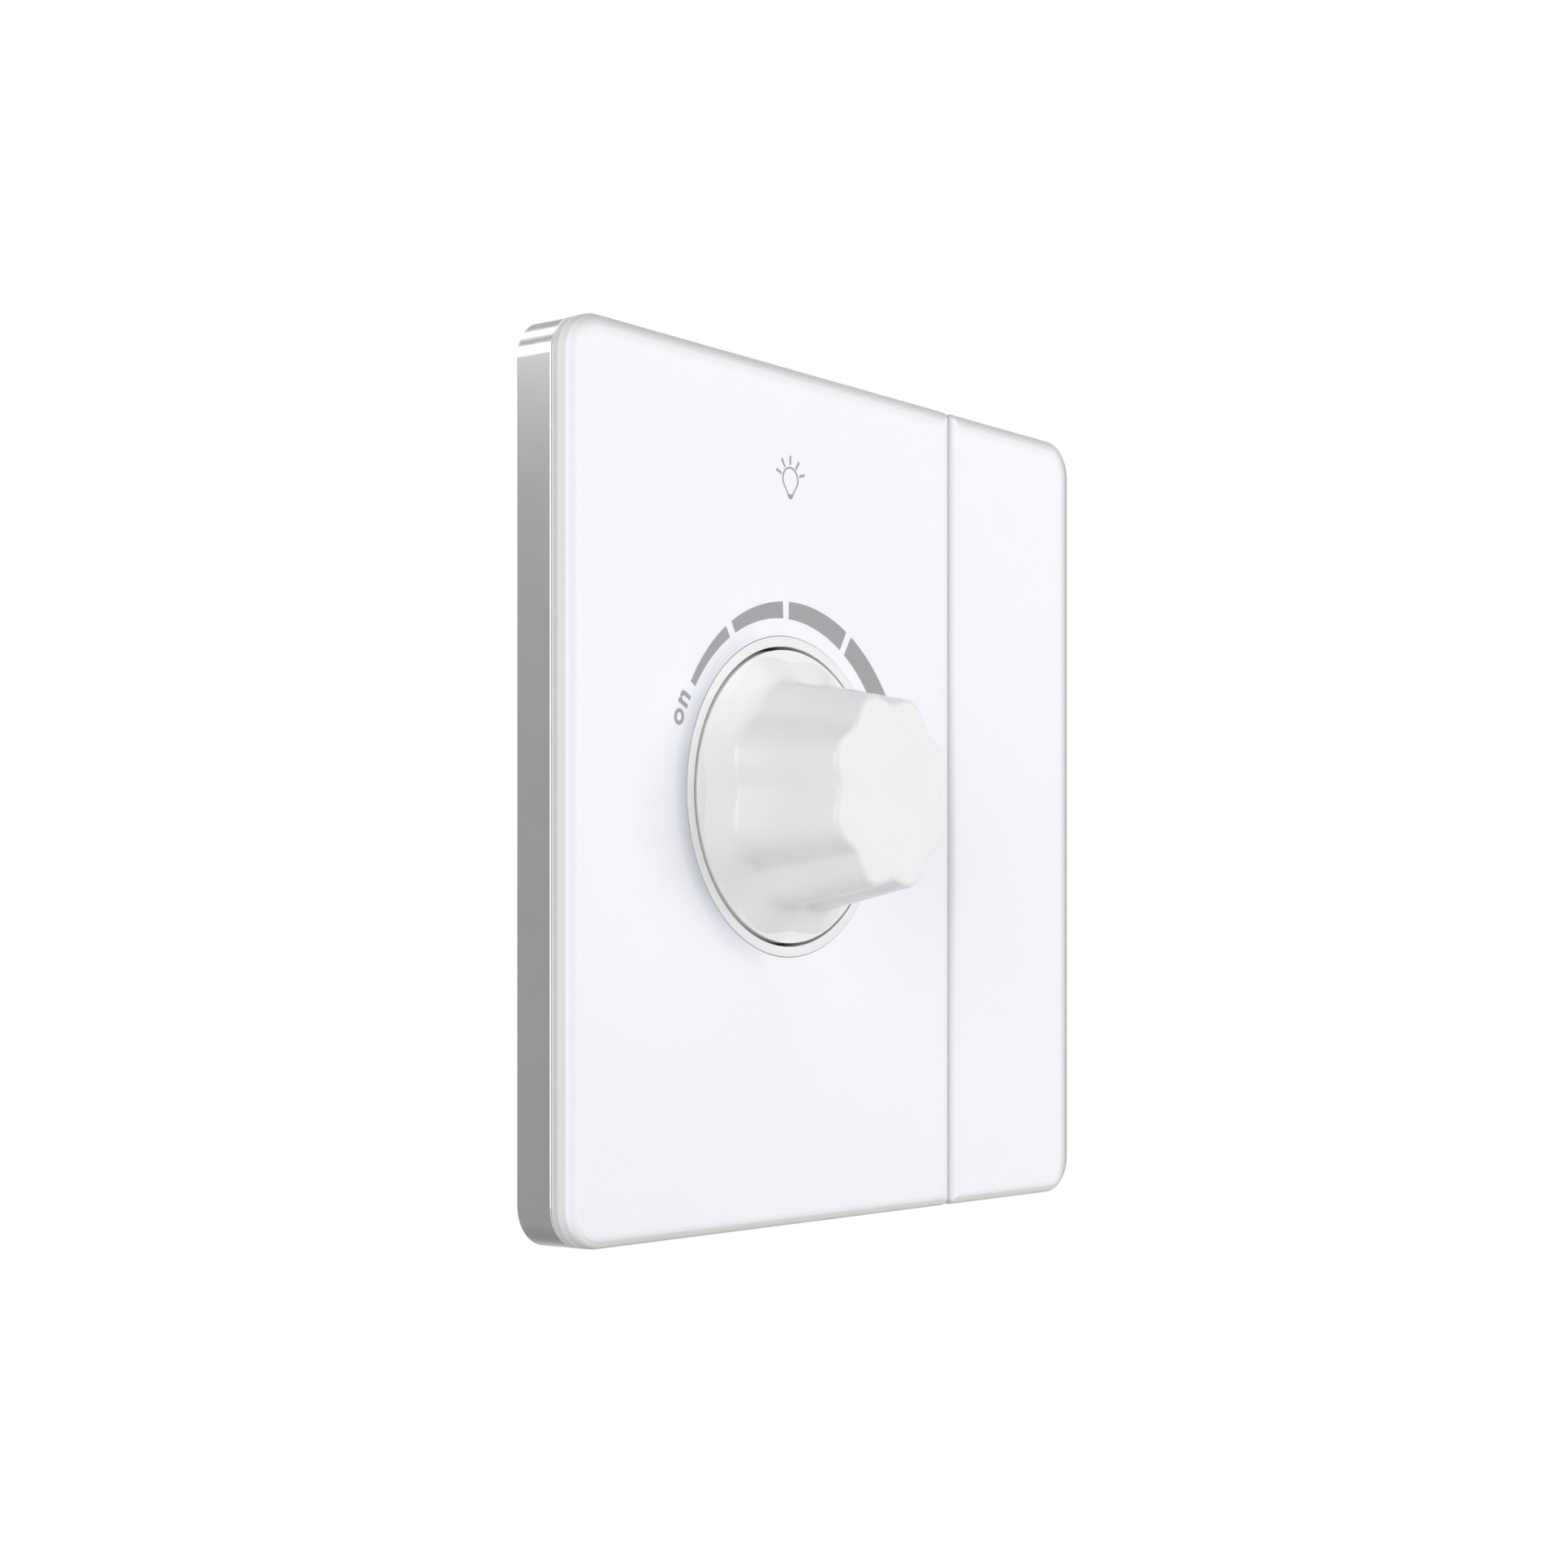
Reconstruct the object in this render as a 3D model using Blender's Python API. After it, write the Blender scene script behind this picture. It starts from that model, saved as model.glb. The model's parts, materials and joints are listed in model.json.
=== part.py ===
"""Rotary light dimmer on a square wall plate, modelled piece by piece.

Metres, +Z up. The origin is the middle of the wall plane. The front faces -Y,
and the rear housing goes into the wall box along +Y.
"""
import math

import bmesh
import bpy
from mathutils import Vector

MM = 0.001

# Gaps between pieces
CLEAR = 0.3 * MM            # seat gap between neighbouring pieces
GLUE_GAP = 0.2 * MM         # behind the clear panels
CARRIER_FIT = 0.15 * MM     # round the carrier, inside the frame's lip
RING_FIT = 0.15 * MM        # between the dial ring and the panel's hole
KNOB_RUN = 0.35 * MM        # between the turning skirt and the dial ring
SHAFT_RUN = 0.2 * MM        # between the turning shaft and its bushing

# Square plate and its silver frame
PLATE_SIZE = 86.0 * MM
PLATE_CORNER_R = 4.0 * MM
FRAME_DEPTH = 4.2 * MM
FRAME_WALL = 2.0 * MM
FRAME_LIP = 0.8 * MM
FRAME_CHAMFER = 0.2 * MM

# Clear panels, split by a groove
PANEL_THICK = 2.4 * MM
PANEL_EDGE_R = 0.9 * MM
PANEL_BACK_CHAMFER = 0.15 * MM
SPLIT_X = 18.55 * MM
SPLIT_GAP = 0.4 * MM
SPLIT_CORNER_R = 0.8 * MM

# White carrier with its four snap hooks
CARRIER_THICK = 0.9 * MM
HOOK_X = 34.0 * MM
HOOK_Z = 26.0 * MM
HOOK_WIDTH = 6.0 * MM
HOOK_STEM = 1.4 * MM
HOOK_BARB = 0.8 * MM
HOOK_BARB_LENGTH = 1.2 * MM

# Dial axis, trim ring and knob
DIAL_X = -10.6 * MM
DIAL_Z = -0.1 * MM
RING_OUTER_R = 16.0 * MM
RING_FACE = 0.95 * MM
RING_PROUD = 0.55 * MM
RING_EDGE_R = 0.15 * MM
KNOB_LOBES = 8
KNOB_HEIGHT = 12.9 * MM
KNOB_RIM_HEIGHT = 0.6 * MM
KNOB_RIM_WIDTH = 0.75 * MM
KNOB_RIM_EDGE_R = 0.25 * MM
KNOB_RIM_WAVE = 0.2 * MM
KNOB_FLARE_HEIGHT = 2.4 * MM
KNOB_BASE_R = 11.1 * MM
KNOB_END_R = 9.3 * MM
KNOB_LOBE_WAVE = 0.4 * MM
KNOB_LOBE_CURVE = 0.85      # under 1 makes the lobes broader than the flutes
KNOB_FLARE_CURVE = 1.5      # over 1 makes the flare hollow
KNOB_END_EDGE_R = 0.8 * MM
KNOB_SKIRT_DEPTH = 2.2 * MM
KNOB_WALL = 1.5 * MM
KNOB_CROWN = 2.0 * MM
KNOB_HUB_R = 5.0 * MM
KNOB_RIB_THICK = 1.0 * MM
KNOB_RIB_LENGTH = 6.5 * MM
KNOB_RIBS = 4

# Shaft and the spring leaf that grips its flat
SHAFT_R = 3.0 * MM
SHAFT_EDGE = 0.5 * MM
SHAFT_FLAT = 1.5 * MM
SHAFT_FLAT_LENGTH = 7.5 * MM
CLIP_THICK = 0.4 * MM
CLIP_WIDTH = 3.2 * MM
CLIP_BOW = 0.15 * MM
CLIP_LENGTH = 6.5 * MM

# Mounting plate, with slots for the wall box's two screws
YOKE_THICK = 1.6 * MM
YOKE_RIB = 1.2 * MM
WALL_SCREW_PITCH = 60.3 * MM
WALL_SLOT_WIDTH = 4.6 * MM
WALL_SLOT_LENGTH = 8.0 * MM
SCREW_HEAD_THICK = 1.1 * MM
SCREW_SLOT_WIDTH = 0.8 * MM
SCREW_SLOT_DEPTH = 0.5 * MM
SCREW_EDGE = 0.4 * MM
SCREW_TIP = 0.6 * MM

# Potentiometer and mains switch behind the dial
BUSH_R = 4.5 * MM
BUSH_FLANGE_R = 6.0 * MM
BUSH_FLANGE = 0.8 * MM
BUSH_PROUD = 0.5 * MM
WASHER_R = 7.5 * MM
WASHER_THICK = 0.5 * MM
NUT_FLATS = 13.0 * MM
NUT_THICK = 2.0 * MM
POT_R = 8.3 * MM
POT_WALL = 0.8 * MM
POT_DEPTH = 6.7 * MM
TRACK_THICK = 1.1 * MM
WIPER_R = 6.6 * MM
WIPER_THICK = 1.2 * MM
WIPER_FINGER_R = 5.2 * MM
WIPER_FINGER_WIDTH = 1.2 * MM
WIPER_FINGER_LENGTH = 3.0 * MM
SWITCH_SIZE = 15.0 * MM
SWITCH_CORNER_R = 2.5 * MM
SWITCH_DEPTH = 7.4 * MM

# Rear housing
HOUSING_WIDTH = 47.4 * MM
HOUSING_HEIGHT = 56.0 * MM
POT_SIDE_ROOM = 0.9 * MM    # from the potentiometer to the left wall
HOUSING_CORNER_R = 3.0 * MM
HOUSING_WALL = 1.6 * MM
HOUSING_FLOOR = 2.0 * MM
HOUSING_EDGE = 0.6 * MM
BOSS_R = 3.0 * MM
BOSS_INSET = 2.6 * MM
HOUSING_SCREW_R = 1.4 * MM
HOUSING_SCREW_HEAD_R = 2.8 * MM
HOUSING_SCREW_LENGTH = 13.0 * MM
VENT_COUNT = 5
VENT_PITCH = 5.6 * MM
VENT_WIDTH = 2.2 * MM
VENT_LENGTH = 9.0 * MM
VENT_START = 4.0 * MM

# Circuit board and its two screws
BOARD_THICK = 1.6 * MM
BOARD_MARGIN = 0.5 * MM
BOARD_SCREW_INSET = 3.0 * MM        # from a screw to the side wall
BOARD_SCREW_RISE = 2.7 * MM         # from the board's lower edge to the right screw
BOARD_SCREW_ROOM = 2.4 * MM         # from the mains switch to the left screw's head
BOARD_POST_INSET = 6.7 * MM         # from a corner boss in to a plain post, along X
BOARD_POST_DROP = 4.3 * MM          # and down, along Z
BOARD_ROOM = 1.2 * MM
BOARD_SCREW_R = 1.2 * MM
BOARD_SCREW_HEAD_R = 2.2 * MM
BOARD_SCREW_LENGTH = 4.0 * MM
BOARD_BOSS_R = 2.5 * MM

# Wire terminals below the board
TERMINAL_X = 9.0 * MM
TERMINAL_WINDOW = 5.2 * MM
TERMINAL_WALL = 1.4 * MM
TERMINAL_THREAD = 3.0 * MM
TERMINAL_LENGTH = 9.0 * MM
TERMINAL_ROOM = 1.5 * MM
TERMINAL_TAB = 2.0 * MM
TERMINAL_TAB_WIDTH = 3.0 * MM
TERMINAL_TAB_THICK = 0.8 * MM
TERMINAL_SCREW_R = 1.75 * MM
TERMINAL_SCREW_HEAD_R = 2.7 * MM
TERMINAL_SCREW_HEAD = 2.2 * MM
ENTRY_SIZE = 6.0 * MM

# Power switch on its heat sink
SINK_LENGTH = 26.0 * MM
SINK_THICK = 2.0 * MM
SINK_WALL_GAP = 1.4 * MM
TRIAC_OFFSET = 2.2 * MM     # right of the heat sink's middle
TRIAC_WIDTH = 8.0 * MM
TRIAC_TAB = 1.0 * MM
TRIAC_TAB_LENGTH = 11.0 * MM
TRIAC_CASE = 2.8 * MM
TRIAC_CASE_LENGTH = 6.5 * MM
TRIAC_LEG = 0.8 * MM
TRIAC_LEG_PITCH = 2.54 * MM
TRIAC_LEG_LENGTH = 1.8 * MM
TRIAC_HOLE_DROP = 2.2 * MM
TRIAC_SCREW_R = 1.2 * MM
TRIAC_SCREW_HEAD_R = 2.0 * MM
TRIAC_SCREW_HEAD = 1.6 * MM

# Choke
CHOKE_ROOM = 0.8 * MM       # below the fuse clips
CHOKE_CORE_R = 3.0 * MM
CHOKE_CORE_LENGTH = 18.0 * MM
CHOKE_TURNS = 8
CHOKE_WIRE_R = 0.5 * MM
CHOKE_PITCH = 1.7 * MM
CHOKE_LIFT = 1.0 * MM

# Small components on the board
FILM_WIDTH = 6.0 * MM
FILM_LENGTH = 13.0 * MM
FILM_HEIGHT = 12.0 * MM
TIMING_X = -9.0 * MM
TIMING_ROOM = 0.5 * MM      # below the heat sink
TIMING_WIDTH = 7.2 * MM
TIMING_LENGTH = 3.0 * MM
TIMING_HEIGHT = 7.0 * MM
BLOCK_EDGE_R = 0.6 * MM
RESISTOR_X = -9.2 * MM
RESISTOR_ROOM = 1.9 * MM    # above the potentiometer
RESISTOR_PITCH = 4.0 * MM
RESISTORS = 2
RESISTOR_R = 1.2 * MM
RESISTOR_LENGTH = 6.0 * MM
DIAC_X = -7.5 * MM
DIAC_ROOM = 0.9 * MM        # below the mains switch
DIAC_R = 0.9 * MM
DIAC_LENGTH = 4.0 * MM
AXIAL_LEAD_R = 0.35 * MM
AXIAL_LEAD_REACH = 1.6 * MM
AXIAL_LIFT = 1.0 * MM

# Fuse and its spring clips
FUSE_WALL_GAP = 1.0 * MM
FUSE_ROOM = 0.4 * MM        # below the power switch
FUSE_LENGTH = 20.0 * MM
FUSE_TUBE_R = 2.3 * MM
FUSE_TUBE_WALL = 0.6 * MM
FUSE_CAP_LENGTH = 5.0 * MM
FUSE_CAP_WALL = 0.4 * MM
FUSE_CLIP_WIDTH = 4.0 * MM
FUSE_CLIP_THICK = 0.5 * MM

# Fineness of round forms
LEAST_CORNER_R = 0.05 * MM
CORNER_STEPS = 10
BLOCK_STEPS = 4
EDGE_STEPS = 6
KNOB_STEPS = 64
DIAL_STEPS = 64
TURN_STEPS = 20
SCREW_STEPS = 12
WIRE_STEPS = 10
WIRE_SIDES = 6
ARC_STEPS = 10
COARSE_STEPS = 3            # small roundings keep every third step
SHARP_ANGLE = math.radians(32)

# Planes and radii that follow from the sizes above
PLATE_HALF = PLATE_SIZE / 2
CARRIER_FRONT = -FRAME_DEPTH
CARRIER_REAR = CARRIER_FRONT + CARRIER_THICK
REBATE_FLOOR = CARRIER_REAR + CLEAR
CARRIER_INSET = FRAME_LIP + CARRIER_FIT
PANEL_REAR = CARRIER_FRONT - GLUE_GAP
PANEL_FRONT = PANEL_REAR - PANEL_THICK
YOKE_FRONT = -YOKE_THICK
YOKE_INSET = FRAME_WALL + CLEAR
HEAD_SEAT = YOKE_FRONT - CLEAR
WASHER_FRONT = HEAD_SEAT - WASHER_THICK
NUT_REAR = WASHER_FRONT - CLEAR
NUT_FRONT = NUT_REAR - NUT_THICK
BUSH_FRONT = NUT_FRONT - BUSH_PROUD
RING_INNER_R = RING_OUTER_R - RING_FACE
SKIRT_R = RING_INNER_R - KNOB_RUN
KNOB_FRONT = PANEL_FRONT - KNOB_HEIGHT
KNOB_CEILING = KNOB_FRONT + KNOB_CROWN
KNOB_BORE_R = SHAFT_R + CLEAR
KNOB_BORE_END = KNOB_CEILING + CLEAR
SHAFT_FRONT = KNOB_BORE_END + CLEAR
HUB_REAR = BUSH_FRONT - CLEAR
BUSH_HOLE_R = BUSH_R + CLEAR
POT_FRONT = CLEAR
POT_REAR = POT_FRONT + POT_DEPTH
BUSH_REAR = POT_FRONT + POT_WALL + CLEAR + BUSH_FLANGE
WIPER_FRONT = BUSH_REAR + 2 * CLEAR
TRACK_FRONT = POT_REAR - CLEAR - TRACK_THICK
SWITCH_FRONT = POT_REAR + CLEAR
SWITCH_REAR = SWITCH_FRONT + SWITCH_DEPTH
BOARD_FRONT = SWITCH_REAR + CLEAR
BOARD_REAR = BOARD_FRONT + BOARD_THICK
BOARD_SEAT = BOARD_FRONT - CLEAR
FLOOR_FRONT = BOARD_REAR + BOARD_ROOM
HOUSING_FRONT = CLEAR
HOUSING_REAR = FLOOR_FRONT + HOUSING_FLOOR
HOUSING_LEFT_INNER = DIAL_X - POT_R - POT_SIDE_ROOM
HOUSING_LEFT = HOUSING_LEFT_INNER - HOUSING_WALL
HOUSING_RIGHT = HOUSING_LEFT + HOUSING_WIDTH
HOUSING_RIGHT_INNER = HOUSING_RIGHT - HOUSING_WALL
HOUSING_MIDDLE = (HOUSING_LEFT + HOUSING_RIGHT) / 2
HOUSING_HALF_Z = HOUSING_HEIGHT / 2
HOUSING_INNER_Z = HOUSING_HALF_Z - HOUSING_WALL
BOSS_LEFT = HOUSING_LEFT_INNER + BOSS_INSET
BOSS_RIGHT = HOUSING_RIGHT_INNER - BOSS_INSET
BOSS_Z = HOUSING_INNER_Z - BOSS_INSET
TERMINAL_REAR = FLOOR_FRONT - CLEAR
TERMINAL_FRONT = TERMINAL_REAR - TERMINAL_LENGTH
TERMINAL_MIDDLE = (TERMINAL_FRONT + TERMINAL_REAR) / 2
TERMINAL_LOW = -HOUSING_INNER_Z + TERMINAL_ROOM
WINDOW_LOW = TERMINAL_LOW + TERMINAL_THREAD
WINDOW_HIGH = WINDOW_LOW + TERMINAL_WINDOW
TERMINAL_HIGH = WINDOW_HIGH + TERMINAL_WALL
BOARD_LOW = TERMINAL_HIGH + CLEAR
BOARD_SCREW_LOW = BOARD_LOW + BOARD_SCREW_RISE
BOARD_SCREW_HIGH = DIAL_Z + SWITCH_SIZE / 2 + BOARD_SCREW_ROOM + BOARD_SCREW_HEAD_R
SINK_TOP = HOUSING_INNER_Z - SINK_WALL_GAP
SINK_LOW = SINK_TOP - SINK_THICK
TRIAC_X = HOUSING_MIDDLE + TRIAC_OFFSET
TRIAC_TAB_TOP = SINK_LOW - CLEAR
TRIAC_TAB_LOW = TRIAC_TAB_TOP - TRIAC_TAB
TRIAC_CASE_TOP = TRIAC_TAB_LOW - CLEAR
TRIAC_CASE_LOW = TRIAC_CASE_TOP - TRIAC_CASE
FUSE_CAP_R = FUSE_TUBE_R + CLEAR + FUSE_CAP_WALL
FUSE_CLIP_INNER_R = FUSE_CAP_R + CLEAR
FUSE_CLIP_R = FUSE_CLIP_INNER_R + FUSE_CLIP_THICK
FUSE_X = HOUSING_RIGHT_INNER - FUSE_WALL_GAP - FUSE_LENGTH / 2
FUSE_Z = TRIAC_CASE_LOW - FUSE_ROOM - FUSE_CLIP_R
FUSE_LOW = FUSE_Z - FUSE_CLIP_R
CHOKE_R = CHOKE_CORE_R + CLEAR + 2 * CHOKE_WIRE_R
POT_RIGHT = DIAL_X + POT_R
SIDE_GAP = (HOUSING_RIGHT_INNER - POT_RIGHT - 2 * CHOKE_R - FILM_WIDTH) / 3
CHOKE_X = POT_RIGHT + SIDE_GAP + CHOKE_R
CHOKE_Z = FUSE_LOW - CHOKE_ROOM - CHOKE_CORE_LENGTH / 2
FILM_X = CHOKE_X + CHOKE_R + SIDE_GAP + FILM_WIDTH / 2
FILM_Z = (BOARD_SCREW_LOW + BOARD_SCREW_HEAD_R + FUSE_LOW) / 2
TIMING_Z = SINK_LOW - TIMING_ROOM - TIMING_LENGTH / 2
RESISTOR_Z = DIAL_Z + POT_R + RESISTOR_ROOM + RESISTOR_R
DIAC_Z = DIAL_Z - SWITCH_SIZE / 2 - DIAC_ROOM - DIAC_R
BORE_EXTRA = 5.0 * MM       # how far a cutter reaches past what it cuts
UPWARD = (math.pi / 2, 0, 0)        # turns a shape made along Y to point up
ALONG_X = (0, 0, -math.pi / 2)      # turns a shape made along Y to lie along X

# Colour, roughness and metallic value of each finish
FINISHES = {
    "clear": ((0.93, 0.95, 0.98), 0.05, 0.0),
    "white": ((0.86, 0.86, 0.88), 0.35, 0.0),
    "silver": ((0.62, 0.62, 0.63), 0.25, 1.0),
    "steel": ((0.55, 0.55, 0.56), 0.35, 1.0),
    "brass": ((0.72, 0.55, 0.24), 0.35, 1.0),
    "copper": ((0.70, 0.34, 0.16), 0.35, 1.0),
    "aluminium": ((0.70, 0.71, 0.72), 0.40, 1.0),
    "housing": ((0.80, 0.80, 0.80), 0.50, 0.0),
    "black": ((0.03, 0.03, 0.03), 0.45, 0.0),
    "board": ((0.05, 0.22, 0.10), 0.50, 0.0),
    "phenolic": ((0.30, 0.16, 0.07), 0.60, 0.0),
    "ferrite": ((0.10, 0.10, 0.11), 0.60, 0.0),
    "yellow": ((0.80, 0.60, 0.10), 0.45, 0.0),
    "beige": ((0.70, 0.58, 0.40), 0.55, 0.0),
}


def clear_scene():
    for obj in list(bpy.data.objects):
        bpy.data.objects.remove(obj, do_unlink=True)


def make_material(name, finish):
    colour, roughness, metallic = FINISHES[finish]
    material = bpy.data.materials.new(name)
    material.use_nodes = True
    shader = material.node_tree.nodes["Principled BSDF"]
    shader.inputs["Base Color"].default_value = (*colour, 1.0)
    shader.inputs["Roughness"].default_value = roughness
    shader.inputs["Metallic"].default_value = metallic
    return material


def make_object(name, bm, place, turn):
    bmesh.ops.recalc_face_normals(bm, faces=bm.faces)
    mesh = bpy.data.meshes.new(name)
    bm.to_mesh(mesh)
    bm.free()
    obj = bpy.data.objects.new(name, mesh)
    obj.location = place
    obj.rotation_euler = turn
    bpy.context.scene.collection.objects.link(obj)
    return obj


def shade(obj):
    obj.data.shade_smooth()
    obj.data.set_sharp_from_angle(angle=SHARP_ANGLE)


def make_piece(name, bm, finish, place=(0, 0, 0), turn=(0, 0, 0)):
    obj = make_object(name, bm, place, turn)
    obj.data.materials.append(make_material(name, finish))
    shade(obj)
    return obj


def combine(obj, operation, bm, place=(0, 0, 0), turn=(0, 0, 0)):
    """Cut a tool shape from a piece, or join it on, and keep the result as the piece's mesh."""
    tool = make_object(obj.name + "_tool", bm, place, turn)
    tool.hide_render = True
    tool.display_type = "WIRE"
    modifier = obj.modifiers.new(operation.lower(), "BOOLEAN")
    modifier.operation = operation
    modifier.solver = "EXACT"
    modifier.object = tool
    bpy.context.view_layer.update()
    depsgraph = bpy.context.evaluated_depsgraph_get()
    result = bpy.data.meshes.new_from_object(obj.evaluated_get(depsgraph))
    obj.modifiers.clear()
    obj.data = result
    bpy.data.objects.remove(tool, do_unlink=True)
    shade(obj)


def cut(obj, bm, place=(0, 0, 0), turn=(0, 0, 0)):
    combine(obj, "DIFFERENCE", bm, place, turn)


def join(obj, bm, place=(0, 0, 0), turn=(0, 0, 0)):
    combine(obj, "UNION", bm, place, turn)


def add_loops(bm, loops, hollow=False):
    """Skin loops of equal count. Ends are capped, or for a hollow ring the last meets the first."""
    rows = [[bm.verts.new(point) for point in loop] for loop in loops]
    pairs = list(zip(rows, rows[1:]))
    if hollow:
        pairs.append((rows[-1], rows[0]))
    count = len(rows[0])
    for near, far in pairs:
        for i in range(count):
            j = (i + 1) % count
            bm.faces.new((near[i], near[j], far[j], far[i]))
    if not hollow:
        bm.faces.new(rows[0])
        bm.faces.new(rows[-1])


def circle(radius, y, count, middle=(0.0, 0.0)):
    turn = 2 * math.pi / count
    return [
        Vector((middle[0] + radius * math.cos(i * turn), y, middle[1] + radius * math.sin(i * turn)))
        for i in range(count)
    ]


def add_turned(bm, profile, count, hollow=False, middle=(0.0, 0.0)):
    """Turn (radius, y) points about an axis along Y."""
    add_loops(bm, [circle(radius, y, count, middle) for radius, y in profile], hollow)


def turned(profile, count, hollow=False):
    bm = bmesh.new()
    add_turned(bm, profile, count, hollow)
    return bm


def add_rod(bm, middle, radius, y0, y1, count=TURN_STEPS):
    add_turned(bm, [(radius, y0), (radius, y1)], count, middle=middle)


def add_box(bm, low, high):
    corners = [(low[0], low[2]), (high[0], low[2]), (high[0], high[2]), (low[0], high[2])]
    add_loops(bm, [[Vector((x, y, z)) for x, z in corners] for y in (low[1], high[1])])


def box(low, high):
    bm = bmesh.new()
    add_box(bm, low, high)
    return bm


def rounded_rect(x0, x1, z0, z1, radii, steps):
    """Outline points with a corner radius for each of upper right, upper left, lower left, lower right."""
    centres = (
        (x1 - radii[0], z1 - radii[0]),
        (x0 + radii[1], z1 - radii[1]),
        (x0 + radii[2], z0 + radii[2]),
        (x1 - radii[3], z0 + radii[3]),
    )
    points = []
    for quarter, ((x, z), radius) in enumerate(zip(centres, radii)):
        for step in range(steps + 1):
            angle = math.pi / 2 * (quarter + step / steps)
            points.append((x + radius * math.cos(angle), z + radius * math.sin(angle)))
    return points


def add_plate(bm, rect, radii, profile, hollow=False, steps=CORNER_STEPS):
    """Skin a rounded rectangle through (inset, y) steps."""
    x0, x1, z0, z1 = rect
    loops = []
    for inset, y in profile:
        corner = [max(radius - inset, LEAST_CORNER_R) for radius in radii]
        outline = rounded_rect(x0 + inset, x1 - inset, z0 + inset, z1 - inset, corner, steps)
        loops.append([Vector((x, y, z)) for x, z in outline])
    add_loops(bm, loops, hollow)


def plate(rect, radii, profile, hollow=False, steps=CORNER_STEPS):
    bm = bmesh.new()
    add_plate(bm, rect, radii, profile, hollow, steps)
    return bm


def square(half):
    return (-half, half, -half, half)


def around(x, z, width, length):
    return (x - width / 2, x + width / 2, z - length / 2, z + length / 2)


def front_round(radius, front):
    """Quarter-round (inset, y) steps that end on the front plane."""
    steps = [i / EDGE_STEPS * math.pi / 2 for i in range(EDGE_STEPS + 1)]
    return [(radius * (1 - math.cos(a)), front + radius * (1 - math.sin(a))) for a in steps]


def add_prism(bm, outline, place, half):
    """Extrude a flat outline both ways; place(u, v, side) gives the point."""
    add_loops(bm, [[place(u, v, side) for u, v in outline] for side in (-half, half)])


def tube_loops(path, radius, sides):
    """Rings along a path that stays nearly square to Z, mitred at its bends."""
    loops = []
    up = Vector((0, 0, 1))
    for i, point in enumerate(path):
        before = (point - path[i - 1]).normalized() if i else None
        after = (path[i + 1] - point).normalized() if i + 1 < len(path) else None
        tangent = ((before or after) + (after or before)).normalized()
        spread = 1 / tangent.dot(after or before)
        across = up.cross(tangent).normalized()
        raised = tangent.cross(across).normalized()
        angles = [2 * math.pi * k / sides for k in range(sides)]
        wide = radius * spread
        loops.append([point + across * wide * math.cos(a) + raised * radius * math.sin(a) for a in angles])
    return loops


def make_screw(name, head_r, head, shank_r, length, place, turn=(0, 0, 0), finish="steel"):
    """Slotted screw along local +Y, with the underside of its head at the origin."""
    profile = [
        (head_r - SCREW_EDGE, -head),
        (head_r, SCREW_EDGE - head),
        (head_r, 0.0),
        (shank_r, 0.0),
        (shank_r, length - SCREW_TIP),
        (shank_r - SCREW_TIP, length),
    ]
    screw = make_piece(name, turned(profile, SCREW_STEPS), finish, place, turn)
    reach = head_r + BORE_EXTRA
    slot_half = SCREW_SLOT_WIDTH / 2
    low = (-reach, -head - BORE_EXTRA, -slot_half)
    high = (reach, SCREW_SLOT_DEPTH - head, slot_half)
    cut(screw, box(low, high), place, turn)
    return screw


def make_trim_frame():
    front = -FRAME_DEPTH
    profile = [
        (0.0, 0.0),
        (0.0, front + FRAME_CHAMFER),
        (FRAME_CHAMFER, front),
        (FRAME_LIP, front),
        (FRAME_LIP, REBATE_FLOOR),
        (FRAME_WALL, REBATE_FLOOR),
        (FRAME_WALL, 0.0),
    ]
    make_piece("trim_frame", plate(square(PLATE_HALF), [PLATE_CORNER_R] * 4, profile, True), "silver")


def panel_profile():
    return [
        (PANEL_BACK_CHAMFER, PANEL_REAR),
        (0.0, PANEL_REAR - PANEL_BACK_CHAMFER),
    ] + front_round(PANEL_EDGE_R, PANEL_FRONT)


def make_panels():
    split_left = SPLIT_X - SPLIT_GAP / 2
    split_right = SPLIT_X + SPLIT_GAP / 2
    outer = PLATE_CORNER_R
    inner = SPLIT_CORNER_R
    left_rect = (-PLATE_HALF, split_left, -PLATE_HALF, PLATE_HALF)
    right_rect = (split_right, PLATE_HALF, -PLATE_HALF, PLATE_HALF)
    left_corners = (inner, outer, outer, inner)
    right_corners = (outer, inner, inner, outer)
    panel = make_piece("front_panel", plate(left_rect, left_corners, panel_profile()), "clear")
    hole = bmesh.new()
    hole_r = RING_OUTER_R + RING_FIT
    add_rod(hole, (DIAL_X, DIAL_Z), hole_r, PANEL_FRONT - BORE_EXTRA, BORE_EXTRA, DIAL_STEPS)
    cut(panel, hole)
    make_piece("side_strip", plate(right_rect, right_corners, panel_profile()), "clear")


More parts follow.
